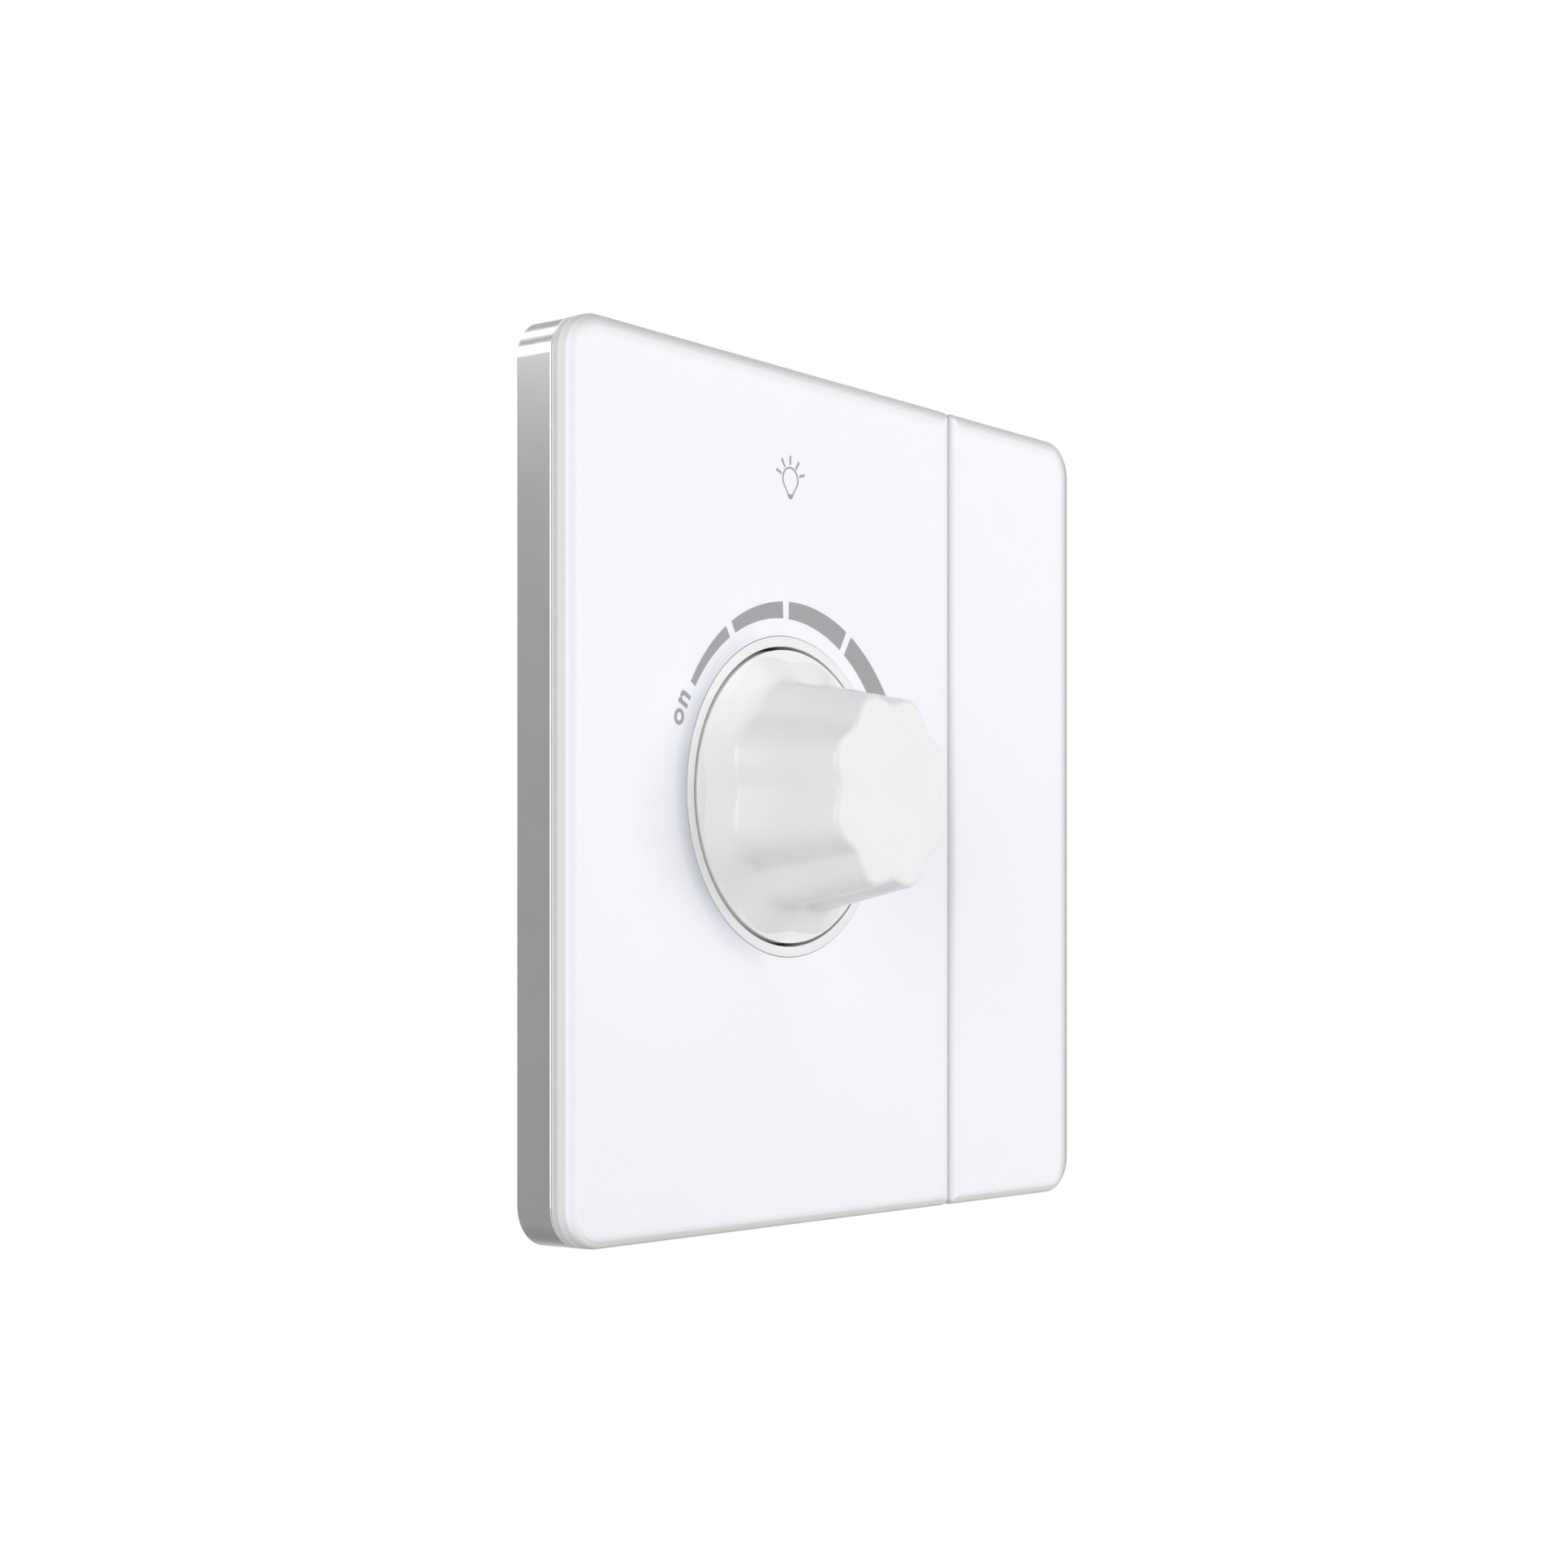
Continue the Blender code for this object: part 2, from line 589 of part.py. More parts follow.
def make_carrier():
    half = PLATE_HALF - CARRIER_INSET
    corner = PLATE_CORNER_R - CARRIER_INSET
    profile = [(0.0, CARRIER_REAR), (0.0, CARRIER_FRONT)]
    carrier = make_piece("panel_carrier", plate(square(half), [corner] * 4, profile), "white")
    hole = bmesh.new()
    add_rod(hole, (DIAL_X, DIAL_Z), RING_INNER_R, CARRIER_FRONT - BORE_EXTRA, BORE_EXTRA, DIAL_STEPS)
    cut(carrier, hole)
    root = (CARRIER_FRONT + CARRIER_REAR) / 2
    stem = HOOK_STEM / 2
    catch = CLEAR
    tip = catch + HOOK_BARB_LENGTH
    outline = [
        (-stem, root),
        (stem, root),
        (stem, catch),
        (stem + HOOK_BARB, catch),
        (stem, tip),
        (-stem, tip),
    ]
    hooks = bmesh.new()
    for side_x in (-1, 1):
        for side_z in (-1, 1):

            def place(u, v, side):
                return Vector((side_x * (HOOK_X + u), v, side_z * HOOK_Z + side))

            add_prism(hooks, outline, place, HOOK_WIDTH / 2)
    join(carrier, hooks)


def make_dial_ring():
    front = PANEL_FRONT - RING_PROUD
    rear = CARRIER_FRONT - CLEAR
    profile = [
        (RING_INNER_R, rear),
        (RING_OUTER_R, rear),
        (RING_OUTER_R, front + RING_EDGE_R),
        (RING_OUTER_R - RING_EDGE_R, front),
        (RING_INNER_R + RING_EDGE_R, front),
        (RING_INNER_R, front + RING_EDGE_R),
    ]
    make_piece("dial_ring", turned(profile, DIAL_STEPS, True), "white", (DIAL_X, 0, DIAL_Z))


def lobe(angle):
    """From -1 in a flute to +1 on a lobe, with the lobes broader than the flutes."""
    swell = (1 - math.cos(KNOB_LOBES * angle)) / 2
    return 2 * swell ** KNOB_LOBE_CURVE - 1


def knob_inner_rows():
    """(radius, y, wave) rows from the shaft bore out to the rear of the skirt."""
    end_r = KNOB_END_R - KNOB_WALL
    base_r = KNOB_BASE_R - KNOB_WALL
    return [
        (KNOB_BORE_R, KNOB_BORE_END, 0.0),
        (KNOB_BORE_R, HUB_REAR, 0.0),
        (KNOB_HUB_R, HUB_REAR, 0.0),
        (KNOB_HUB_R, KNOB_CEILING, 0.0),
        (end_r, KNOB_CEILING, 0.0),
        (base_r, PANEL_FRONT - KNOB_FLARE_HEIGHT, 0.0),
        (SKIRT_R - KNOB_WALL, PANEL_FRONT + KNOB_SKIRT_DEPTH, 0.0),
    ]


def knob_outer_rows():
    """(radius, y, wave) rows up the skirt, over the flared shoulder and up the fluted body."""
    rim = PANEL_FRONT - KNOB_RIM_HEIGHT
    shoulder = PANEL_FRONT - KNOB_FLARE_HEIGHT
    flare_r = SKIRT_R - KNOB_RIM_WIDTH
    rows = [(SKIRT_R, PANEL_FRONT + KNOB_SKIRT_DEPTH, 0.0)]
    for inset, y in front_round(KNOB_RIM_EDGE_R, rim)[::COARSE_STEPS]:
        rows.append((SKIRT_R - inset, y, 0.0))
    for step in range(EDGE_STEPS + 1):
        part = step / EDGE_STEPS
        radius = flare_r + (KNOB_BASE_R - flare_r) * part
        wave = KNOB_RIM_WAVE + (KNOB_LOBE_WAVE - KNOB_RIM_WAVE) * part
        rows.append((radius, rim + (shoulder - rim) * part ** KNOB_FLARE_CURVE, wave))
    for inset, y in front_round(KNOB_END_EDGE_R, KNOB_FRONT):
        rows.append((KNOB_END_R - inset, y, KNOB_LOBE_WAVE))
    return rows


def make_knob():
    """Lofted eight-lobe knob: hub, thin wall, flared skirt and crowned edge in one skin."""
    turn = 2 * math.pi / KNOB_STEPS
    loops = []
    for radius, y, wave in knob_inner_rows() + knob_outer_rows():
        loop = []
        for i in range(KNOB_STEPS):
            reach = radius + wave * lobe(i * turn)
            loop.append(Vector((reach * math.cos(i * turn), y, reach * math.sin(i * turn))))
        loops.append(loop)
    bm = bmesh.new()
    add_loops(bm, loops)
    knob = make_piece("knob", bm, "white", (DIAL_X, 0, DIAL_Z))
    add_knob_ribs(knob)


def add_knob_ribs(knob):
    bite = KNOB_WALL / 3
    rib_rear = KNOB_CEILING + KNOB_RIB_LENGTH
    shoulder = PANEL_FRONT - KNOB_FLARE_HEIGHT
    end_r = KNOB_END_R - KNOB_WALL
    base_r = KNOB_BASE_R - KNOB_WALL
    share = (rib_rear - KNOB_CEILING) / (shoulder - KNOB_CEILING)
    rear_r = end_r + (base_r - end_r) * share
    outline = [
        (KNOB_HUB_R - bite, KNOB_CEILING - bite),
        (end_r + bite, KNOB_CEILING - bite),
        (rear_r + bite, rib_rear),
        (KNOB_HUB_R - bite, rib_rear),
    ]
    ribs = bmesh.new()
    for i in range(KNOB_RIBS):
        angle = 2 * math.pi * i / KNOB_RIBS + math.pi / KNOB_LOBES

        def place(u, v, side):
            x = u * math.cos(angle) - side * math.sin(angle)
            z = u * math.sin(angle) + side * math.cos(angle)
            return Vector((x, v, z))

        add_prism(ribs, outline, place, KNOB_RIB_THICK / 2)
    join(knob, ribs, (DIAL_X, 0, DIAL_Z))


def make_shaft():
    profile = [
        (SHAFT_R - SHAFT_EDGE, SHAFT_FRONT),
        (SHAFT_R, SHAFT_FRONT + SHAFT_EDGE),
        (SHAFT_R, POT_REAR),
    ]
    shaft = make_piece("shaft", turned(profile, TURN_STEPS), "aluminium", (DIAL_X, 0, DIAL_Z))
    reach = SHAFT_R + BORE_EXTRA
    low = (SHAFT_FLAT, SHAFT_FRONT - BORE_EXTRA, -reach)
    high = (reach, SHAFT_FRONT + SHAFT_FLAT_LENGTH, reach)
    cut(shaft, box(low, high), (DIAL_X, 0, DIAL_Z))


def make_knob_clip():
    """Bowed spring leaf between the shaft's flat and the knob's bore."""
    start = SHAFT_FRONT + CLEAR
    inner = SHAFT_FLAT + CLEAR
    half = CLIP_WIDTH / 2
    loops = []
    for i in range(ARC_STEPS + 1):
        part = i / ARC_STEPS
        x = inner + CLIP_BOW * math.sin(math.pi * part)
        y = start + CLIP_LENGTH * part
        corners = ((x, -half), (x + CLIP_THICK, -half), (x + CLIP_THICK, half), (x, half))
        loops.append([Vector((u, y, v)) for u, v in corners])
    bm = bmesh.new()
    add_loops(bm, loops)
    make_piece("knob_clip", bm, "steel", (DIAL_X, 0, DIAL_Z))


def make_yoke():
    half = PLATE_HALF - YOKE_INSET
    corner = PLATE_CORNER_R - YOKE_INSET
    profile = [(0.0, 0.0), (0.0, REBATE_FLOOR), (YOKE_RIB, REBATE_FLOOR), (YOKE_RIB, YOKE_FRONT)]
    shape = plate(square(half), [corner] * 4, profile, steps=BLOCK_STEPS)
    yoke = make_piece("mounting_plate", shape, "housing")
    holes = bmesh.new()
    far = (-FRAME_DEPTH - BORE_EXTRA, BORE_EXTRA)
    slot_r = WALL_SLOT_WIDTH / 2
    through = [(0.0, far[0]), (0.0, far[1])]
    window_x = HOOK_STEM / 2 + CLEAR
    window_z = HOOK_WIDTH / 2 + CLEAR
    for side_x in (-1, 1):
        slot = around(side_x * WALL_SCREW_PITCH / 2, 0, WALL_SLOT_WIDTH, WALL_SLOT_LENGTH)
        add_plate(holes, slot, [slot_r] * 4, through, steps=BLOCK_STEPS)
        for side_z in (-1, 1):
            x, z = side_x * HOOK_X, side_z * HOOK_Z
            add_box(holes, (x - window_x, far[0], z - window_z), (x + window_x, far[1], z + window_z))
    for middle in boss_places():
        add_rod(holes, middle, HOUSING_SCREW_R + CLEAR, *far, SCREW_STEPS)
    add_rod(holes, (DIAL_X, DIAL_Z), BUSH_HOLE_R, *far)
    cut(yoke, holes)


def make_pot():
    place = (DIAL_X, 0, DIAL_Z)
    wall_rear = POT_FRONT + POT_WALL
    inner = POT_R - POT_WALL
    shaft_hole = SHAFT_R + SHAFT_RUN
    flange_front = wall_rear + CLEAR
    case = [
        (BUSH_HOLE_R, POT_FRONT),
        (POT_R, POT_FRONT),
        (POT_R, POT_REAR),
        (inner, POT_REAR),
        (inner, wall_rear),
        (BUSH_HOLE_R, wall_rear),
    ]
    bushing = [
        (shaft_hole, BUSH_FRONT),
        (BUSH_R, BUSH_FRONT),
        (BUSH_R, flange_front),
        (BUSH_FLANGE_R, flange_front),
        (BUSH_FLANGE_R, BUSH_REAR),
        (shaft_hole, BUSH_REAR),
    ]
    washer = [
        (BUSH_HOLE_R, HEAD_SEAT),
        (WASHER_R, HEAD_SEAT),
        (WASHER_R, WASHER_FRONT),
        (BUSH_HOLE_R, WASHER_FRONT),
    ]
    track = [
        (shaft_hole + CLEAR, TRACK_FRONT),
        (inner - CLEAR, TRACK_FRONT),
        (inner - CLEAR, TRACK_FRONT + TRACK_THICK),
        (shaft_hole + CLEAR, TRACK_FRONT + TRACK_THICK),
    ]
    make_piece("pot_case", turned(case, TURN_STEPS, True), "steel", place)
    make_piece("pot_bushing", turned(bushing, TURN_STEPS, True), "brass", place)
    make_piece("pot_washer", turned(washer, TURN_STEPS, True), "steel", place)
    make_piece("pot_track", turned(track, TURN_STEPS, True), "phenolic", place)
    make_nut(place)
    make_wiper(place)


def make_nut(place):
    """Hexagon nut: flats outside, a round hole inside, skinned with equal counts."""
    turn = 2 * math.pi / TURN_STEPS
    sixth = math.pi / 3

    def hexagon(y):
        points = []
        for i in range(TURN_STEPS):
            angle = i * turn
            off_flat = (angle + sixth / 2) % sixth - sixth / 2
            radius = NUT_FLATS / 2 / math.cos(off_flat)
            points.append(Vector((radius * math.cos(angle), y, radius * math.sin(angle))))
        return points

    bm = bmesh.new()
    loops = [
        circle(BUSH_HOLE_R, NUT_REAR, TURN_STEPS),
        hexagon(NUT_REAR),
        hexagon(NUT_FRONT),
        circle(BUSH_HOLE_R, NUT_FRONT, TURN_STEPS),
    ]
    add_loops(bm, loops, True)
    make_piece("pot_nut", bm, "brass", place)


def make_wiper(place):
    hole = SHAFT_R + SHAFT_RUN
    rear = WIPER_FRONT + WIPER_THICK
    disc = [(hole, WIPER_FRONT), (WIPER_R, WIPER_FRONT), (WIPER_R, rear), (hole, rear)]
    wiper = make_piece("wiper", turned(disc, TURN_STEPS, True), "black", place)
    fingers = bmesh.new()
    half_x = WIPER_FINGER_WIDTH / 2
    half_z = WIPER_FINGER_LENGTH / 2
    for side in (-1, 1):
        x = side * WIPER_FINGER_R
        low = (x - half_x, rear - WIPER_THICK / 2, -half_z)
        high = (x + half_x, TRACK_FRONT - CLEAR, half_z)
        add_box(fingers, low, high)
    join(wiper, fingers, place)


def make_switch_case():
    rect = around(DIAL_X, DIAL_Z, SWITCH_SIZE, SWITCH_SIZE)
    edge = BLOCK_EDGE_R
    profile = [(0.0, SWITCH_REAR), (0.0, SWITCH_FRONT + edge), (edge, SWITCH_FRONT)]
    make_piece("switch_case", plate(rect, [SWITCH_CORNER_R] * 4, profile, steps=BLOCK_STEPS), "black")


def make_housing():
    """Open-fronted case with corner bosses, board bosses and posts, vents and wire entries."""
    rect = (HOUSING_LEFT, HOUSING_RIGHT, -HOUSING_HALF_Z, HOUSING_HALF_Z)
    profile = [
        (HOUSING_WALL, FLOOR_FRONT),
        (HOUSING_WALL, HOUSING_FRONT),
        (0.0, HOUSING_FRONT),
        (0.0, HOUSING_REAR - HOUSING_EDGE),
        (HOUSING_EDGE, HOUSING_REAR),
    ]
    corners = [HOUSING_CORNER_R] * 4
    housing = make_piece("rear_housing", plate(rect, corners, profile, steps=BLOCK_STEPS), "housing")
    floor_bite = FLOOR_FRONT + HOUSING_FLOOR / 2
    bosses = bmesh.new()
    for middle in boss_places():
        add_rod(bosses, middle, BOSS_R, HOUSING_FRONT, floor_bite, SCREW_STEPS)
    for middle in board_screw_places() + board_post_places():
        add_rod(bosses, middle, BOARD_BOSS_R, BOARD_REAR + CLEAR, floor_bite, SCREW_STEPS)
    join(housing, bosses)
    cut(housing, housing_bores())
    cut(housing, housing_openings())
    access_r = TERMINAL_SCREW_HEAD_R + CLEAR
    access = [(access_r, -BORE_EXTRA), (access_r, HOUSING_WALL + CLEAR)]
    for x in (-TERMINAL_X, TERMINAL_X):
        cut(housing, turned(access, TURN_STEPS), (x, TERMINAL_MIDDLE, -HOUSING_HALF_Z), UPWARD)


def boss_places():
    return [(x, z) for x in (BOSS_LEFT, BOSS_RIGHT) for z in (-BOSS_Z, BOSS_Z)]


def board_screw_places():
    left = (HOUSING_LEFT_INNER + BOARD_SCREW_INSET, BOARD_SCREW_HIGH)
    right = (HOUSING_RIGHT_INNER - BOARD_SCREW_INSET, BOARD_SCREW_LOW)
    return [left, right]


def board_post_places():
    z = BOSS_Z - BOARD_POST_DROP
    return [(BOSS_LEFT + BOARD_POST_INSET, z), (BOSS_RIGHT - BOARD_POST_INSET, z)]


def housing_bores():
    bores = bmesh.new()
    for middle in boss_places():
        end = HEAD_SEAT + HOUSING_SCREW_LENGTH + CLEAR
        add_rod(bores, middle, HOUSING_SCREW_R + CLEAR, HOUSING_FRONT - BORE_EXTRA, end, SCREW_STEPS)
    for middle in board_screw_places():
        end = BOARD_SEAT + BOARD_SCREW_LENGTH + CLEAR
        add_rod(bores, middle, BOARD_SCREW_R + CLEAR, BOARD_REAR, end, SCREW_STEPS)
    return bores


def housing_openings():
    """Wire entries through the floor and vents through the top wall."""
    openings = bmesh.new()
    half = ENTRY_SIZE / 2
    entry_z = (WINDOW_LOW + WINDOW_HIGH) / 2
    for x in (-TERMINAL_X, TERMINAL_X):
        low = (x - half, FLOOR_FRONT - CLEAR, entry_z - half)
        add_box(openings, low, (x + half, HOUSING_REAR + BORE_EXTRA, entry_z + half))
    first = HOUSING_MIDDLE - VENT_PITCH * (VENT_COUNT - 1) / 2
    for i in range(VENT_COUNT):
        x = first + i * VENT_PITCH
        low = (x - VENT_WIDTH / 2, VENT_START, HOUSING_INNER_Z - CLEAR)
        high = (x + VENT_WIDTH / 2, VENT_START + VENT_LENGTH, HOUSING_HALF_Z + BORE_EXTRA)
        add_box(openings, low, high)
    return openings


def make_housing_screws():
    for i, (x, z) in enumerate(boss_places(), start=1):
        make_screw(
            f"housing_screw_{i}",
            HOUSING_SCREW_HEAD_R,
            SCREW_HEAD_THICK,
            HOUSING_SCREW_R,
            HOUSING_SCREW_LENGTH,
            (x, HEAD_SEAT, z),
        )


def make_board():
    """Board that ends above the terminals, its upper corners cut off clear of the housing's bosses."""
    left = HOUSING_LEFT_INNER + BOARD_MARGIN
    right = HOUSING_RIGHT_INNER - BOARD_MARGIN
    top = HOUSING_INNER_Z - BOARD_MARGIN
    leg = math.sqrt(2) * (BOSS_R + CLEAR) + 2 * (BOSS_INSET - BOARD_MARGIN)
    corners = [
        (right, BOARD_LOW),
        (right, top - leg),
        (right - leg, top),
        (left + leg, top),
        (left, top - leg),
        (left, BOARD_LOW),
    ]
    bm = bmesh.new()
    add_loops(bm, [[Vector((x, y, z)) for x, z in corners] for y in (BOARD_FRONT, BOARD_REAR)])
    board = make_piece("circuit_board", bm, "board")
    holes = bmesh.new()
    for middle in board_screw_places():
        ends = (BOARD_FRONT - BORE_EXTRA, BOARD_REAR + BORE_EXTRA)
        add_rod(holes, middle, BOARD_SCREW_R + CLEAR, *ends, SCREW_STEPS)
    cut(board, holes)
    for i, (x, z) in enumerate(board_screw_places(), start=1):
        make_screw(
            f"board_screw_{i}",
            BOARD_SCREW_HEAD_R,
            SCREW_HEAD_THICK,
            BOARD_SCREW_R,
            BOARD_SCREW_LENGTH,
            (x, BOARD_SEAT, z),
        )


def make_terminals():
    """Brass cage terminals: wires go in from the rear, and the screws turn from below."""
    half = TERMINAL_WINDOW / 2
    outer = half + TERMINAL_WALL
    tab_half = TERMINAL_TAB_WIDTH / 2
    thread_r = TERMINAL_SCREW_R + CLEAR
    thread = [(thread_r, -BORE_EXTRA), (thread_r, TERMINAL_THREAD + CLEAR)]
    screw_seat = TERMINAL_LOW - CLEAR
    for name, x in (("line", -TERMINAL_X), ("load", TERMINAL_X)):
        low = (x - outer, TERMINAL_FRONT, TERMINAL_LOW)
        high = (x + outer, TERMINAL_REAR, TERMINAL_HIGH)
        terminal = make_piece("terminal_" + name, box(low, high), "brass")
        tab_corner = (x - tab_half, BOARD_SEAT - TERMINAL_TAB_THICK, TERMINAL_HIGH - TERMINAL_WALL / 2)
        join(terminal, box(tab_corner, (x + tab_half, BOARD_SEAT, TERMINAL_HIGH + TERMINAL_TAB)))
        window_low = (x - half, TERMINAL_FRONT - BORE_EXTRA, WINDOW_LOW)
        cut(terminal, box(window_low, (x + half, TERMINAL_REAR + BORE_EXTRA, WINDOW_HIGH)))
        cut(terminal, turned(thread, SCREW_STEPS), (x, TERMINAL_MIDDLE, TERMINAL_LOW), UPWARD)
        make_screw(
            "terminal_screw_" + name,
            TERMINAL_SCREW_HEAD_R,
            TERMINAL_SCREW_HEAD,
            TERMINAL_SCREW_R,
            WINDOW_LOW - CLEAR - screw_seat,
            (x, TERMINAL_MIDDLE, screw_seat),
            UPWARD,
        )


def make_power_switch():
    """Heat sink plate by the top wall, with the tab, case and screw of the power switch in front."""
    case_rear = BOARD_SEAT - TRIAC_LEG_LENGTH
    case_front = case_rear - TRIAC_CASE_LENGTH
    tab_front = case_rear - TRIAC_TAB_LENGTH
    hole_y = tab_front + TRIAC_HOLE_DROP
    hole_r = TRIAC_SCREW_R + CLEAR
    sink_left = HOUSING_MIDDLE - SINK_LENGTH / 2
    sink_right = HOUSING_MIDDLE + SINK_LENGTH / 2
    half = TRIAC_WIDTH / 2
    sink = make_piece(
        "heat_sink",
        box((sink_left, tab_front, SINK_LOW), (sink_right, BOARD_SEAT, SINK_TOP)),
        "aluminium",
    )
    tab = make_piece(
        "triac_tab",
        box((TRIAC_X - half, tab_front, TRIAC_TAB_LOW), (TRIAC_X + half, case_rear, TRIAC_TAB_TOP)),
        "steel",
    )
    bore = [(hole_r, -BORE_EXTRA), (hole_r, BORE_EXTRA)]
    for piece, z in ((sink, (SINK_LOW + SINK_TOP) / 2), (tab, (TRIAC_TAB_LOW + TRIAC_TAB_TOP) / 2)):
        cut(piece, turned(bore, SCREW_STEPS), (TRIAC_X, hole_y, z), UPWARD)
    case = make_piece(
        "triac_case",
        box((TRIAC_X - half, case_front, TRIAC_CASE_LOW), (TRIAC_X + half, case_rear, TRIAC_CASE_TOP)),
        "black",
    )
    legs = bmesh.new()
    leg_z = (TRIAC_CASE_LOW + TRIAC_CASE_TOP) / 2
    for i in (-1, 0, 1):
        x = TRIAC_X + i * TRIAC_LEG_PITCH
        low = (x - TRIAC_LEG / 2, case_rear - TRIAC_LEG, leg_z - TRIAC_LEG / 2)
        add_box(legs, low, (x + TRIAC_LEG / 2, BOARD_SEAT, leg_z + TRIAC_LEG / 2))
    join(case, legs)
    make_screw(
        "triac_screw",
        TRIAC_SCREW_HEAD_R,
        TRIAC_SCREW_HEAD,
        TRIAC_SCREW_R,
        SINK_TOP - TRIAC_TAB_LOW + CLEAR,
        (TRIAC_X, hole_y, TRIAC_TAB_LOW - CLEAR),
        UPWARD,
    )


def winding_path(radius, middle_y):
    """Lead from the board, whole turns round the core along Z, and a lead back to the board."""
    turns = CHOKE_TURNS + 0.5
    steps = round(turns * WIRE_STEPS)
    first_z = CHOKE_Z - turns * CHOKE_PITCH / 2
    points = [Vector((CHOKE_X - radius, BOARD_SEAT, first_z))]
    for i in range(steps + 1):
        angle = math.pi + 2 * math.pi * turns * i / steps
        z = first_z + turns * CHOKE_PITCH * i / steps
        points.append(Vector((CHOKE_X + radius * math.cos(angle), middle_y + radius * math.sin(angle), z)))
    points.append(Vector((CHOKE_X + radius, BOARD_SEAT, points[-1].z)))
    return points


def least_gap(points):
    """Least clear distance between parts of the wire that are over half a turn apart."""
    apart = WIRE_STEPS // 2 + 1
    nearest = min(
        (points[i] - points[j]).length
        for i in range(len(points))
        for j in range(i + apart, len(points))
    )
    return nearest - 2 * CHOKE_WIRE_R


def make_choke():
    radius = CHOKE_CORE_R + CLEAR + CHOKE_WIRE_R
    middle_y = BOARD_FRONT - CHOKE_LIFT - radius - CHOKE_WIRE_R
    half = CHOKE_CORE_LENGTH / 2
    core = turned([(CHOKE_CORE_R, -half), (CHOKE_CORE_R, half)], TURN_STEPS)
    make_piece("choke_core", core, "ferrite", (CHOKE_X, middle_y, CHOKE_Z), UPWARD)
    path = winding_path(radius, middle_y)
    bm = bmesh.new()
    add_loops(bm, tube_loops(path, CHOKE_WIRE_R, WIRE_SIDES))
    make_piece("choke_winding", bm, "copper")
    print(f"choke winding, least gap to itself: {least_gap(path) / MM:.2f} mm")


def make_block(name, x, z, width, length, height, finish):
    """Boxed component standing on the board, with its front edges rounded."""
    front = BOARD_SEAT - height
    profile = [(0.0, BOARD_SEAT)] + front_round(BLOCK_EDGE_R, front)[::COARSE_STEPS]
    rect = around(x, z, width, length)
    make_piece(name, plate(rect, [BLOCK_EDGE_R] * 4, profile, steps=BLOCK_STEPS), finish)


def make_axial(name, x, z, radius, length, finish):
    """Axial component along X on bent leads, with swollen ends."""
    y = BOARD_FRONT - AXIAL_LIFT - radius
    half = length / 2
    waist = radius - AXIAL_LEAD_R
    end = half - radius
    profile = [
        (waist, -half),
        (radius, radius / 2 - half),
        (radius, -end),
        (waist, radius / 2 - end),
        (waist, end - radius / 2),
        (radius, end),
        (radius, half - radius / 2),
        (waist, half),
    ]
    body = make_piece(name, turned(profile, SCREW_STEPS), finish, (x, y, z), ALONG_X)
    reach = half + AXIAL_LEAD_REACH
    path = [
        Vector((x - reach, BOARD_SEAT, z)),
        Vector((x - reach, y, z)),
        Vector((x + reach, y, z)),
        Vector((x + reach, BOARD_SEAT, z)),
    ]
    lead = bmesh.new()
    add_loops(lead, tube_loops(path, AXIAL_LEAD_R, WIRE_SIDES))
    join(body, lead)


def make_fuse():
    """Glass fuse along X, with end caps held in two sprung clips."""
    half = FUSE_LENGTH / 2
    cap_inner = FUSE_TUBE_R + CLEAR
    y = BOARD_SEAT - FUSE_CLIP_R
    tube_half = half - FUSE_CAP_WALL - CLEAR
    bore = FUSE_TUBE_R - FUSE_TUBE_WALL
    tube = [(bore, -tube_half), (FUSE_TUBE_R, -tube_half), (FUSE_TUBE_R, tube_half), (bore, tube_half)]
    make_piece("fuse_tube", turned(tube, TURN_STEPS, True), "clear", (FUSE_X, y, FUSE_Z), ALONG_X)
    cap = [
        (cap_inner, half - FUSE_CAP_WALL),
        (cap_inner, half - FUSE_CAP_LENGTH),
        (FUSE_CAP_R, half - FUSE_CAP_LENGTH),
        (FUSE_CAP_R, half),
    ]
    for name, side in (("left", -1), ("right", 1)):
        mirrored = [(radius, side * t) for radius, t in cap]
        make_piece("fuse_cap_" + name, turned(mirrored, TURN_STEPS), "steel", (FUSE_X, y, FUSE_Z), ALONG_X)
        middle = FUSE_X + side * (half - FUSE_CAP_LENGTH / 2)
        make_fuse_clip("fuse_clip_" + name, middle, y)


def make_fuse_clip(name, x, y):
    """U-shaped spring strip, open to the front."""
    inner = FUSE_CLIP_INNER_R
    outer = FUSE_CLIP_R
    arc = [math.pi * i / ARC_STEPS for i in range(ARC_STEPS + 1)]
    inside = [(inner * math.cos(a), inner * math.sin(a)) for a in arc]
    outside = [(-outer * math.cos(a), outer * math.sin(a)) for a in arc]
    outline = [(inner, -outer)] + inside + [(-inner, -outer), (-outer, -outer)] + outside + [(outer, -outer)]
    half = FUSE_CLIP_WIDTH / 2

    def place(u, v, side):
        return Vector((x + side, y + v, FUSE_Z + u))

    bm = bmesh.new()
    add_prism(bm, outline, place, half)
    make_piece(name, bm, "brass")


def make_small_components():
    make_block("film_capacitor", FILM_X, FILM_Z, FILM_WIDTH, FILM_LENGTH, FILM_HEIGHT, "yellow")
    make_block("timing_capacitor", TIMING_X, TIMING_Z, TIMING_WIDTH, TIMING_LENGTH, TIMING_HEIGHT, "yellow")
    for i in range(RESISTORS):
        z = RESISTOR_Z + i * RESISTOR_PITCH
        make_axial(f"resistor_{i + 1}", RESISTOR_X, z, RESISTOR_R, RESISTOR_LENGTH, "beige")
    make_axial("diac", DIAC_X, DIAC_Z, DIAC_R, DIAC_LENGTH, "phenolic")


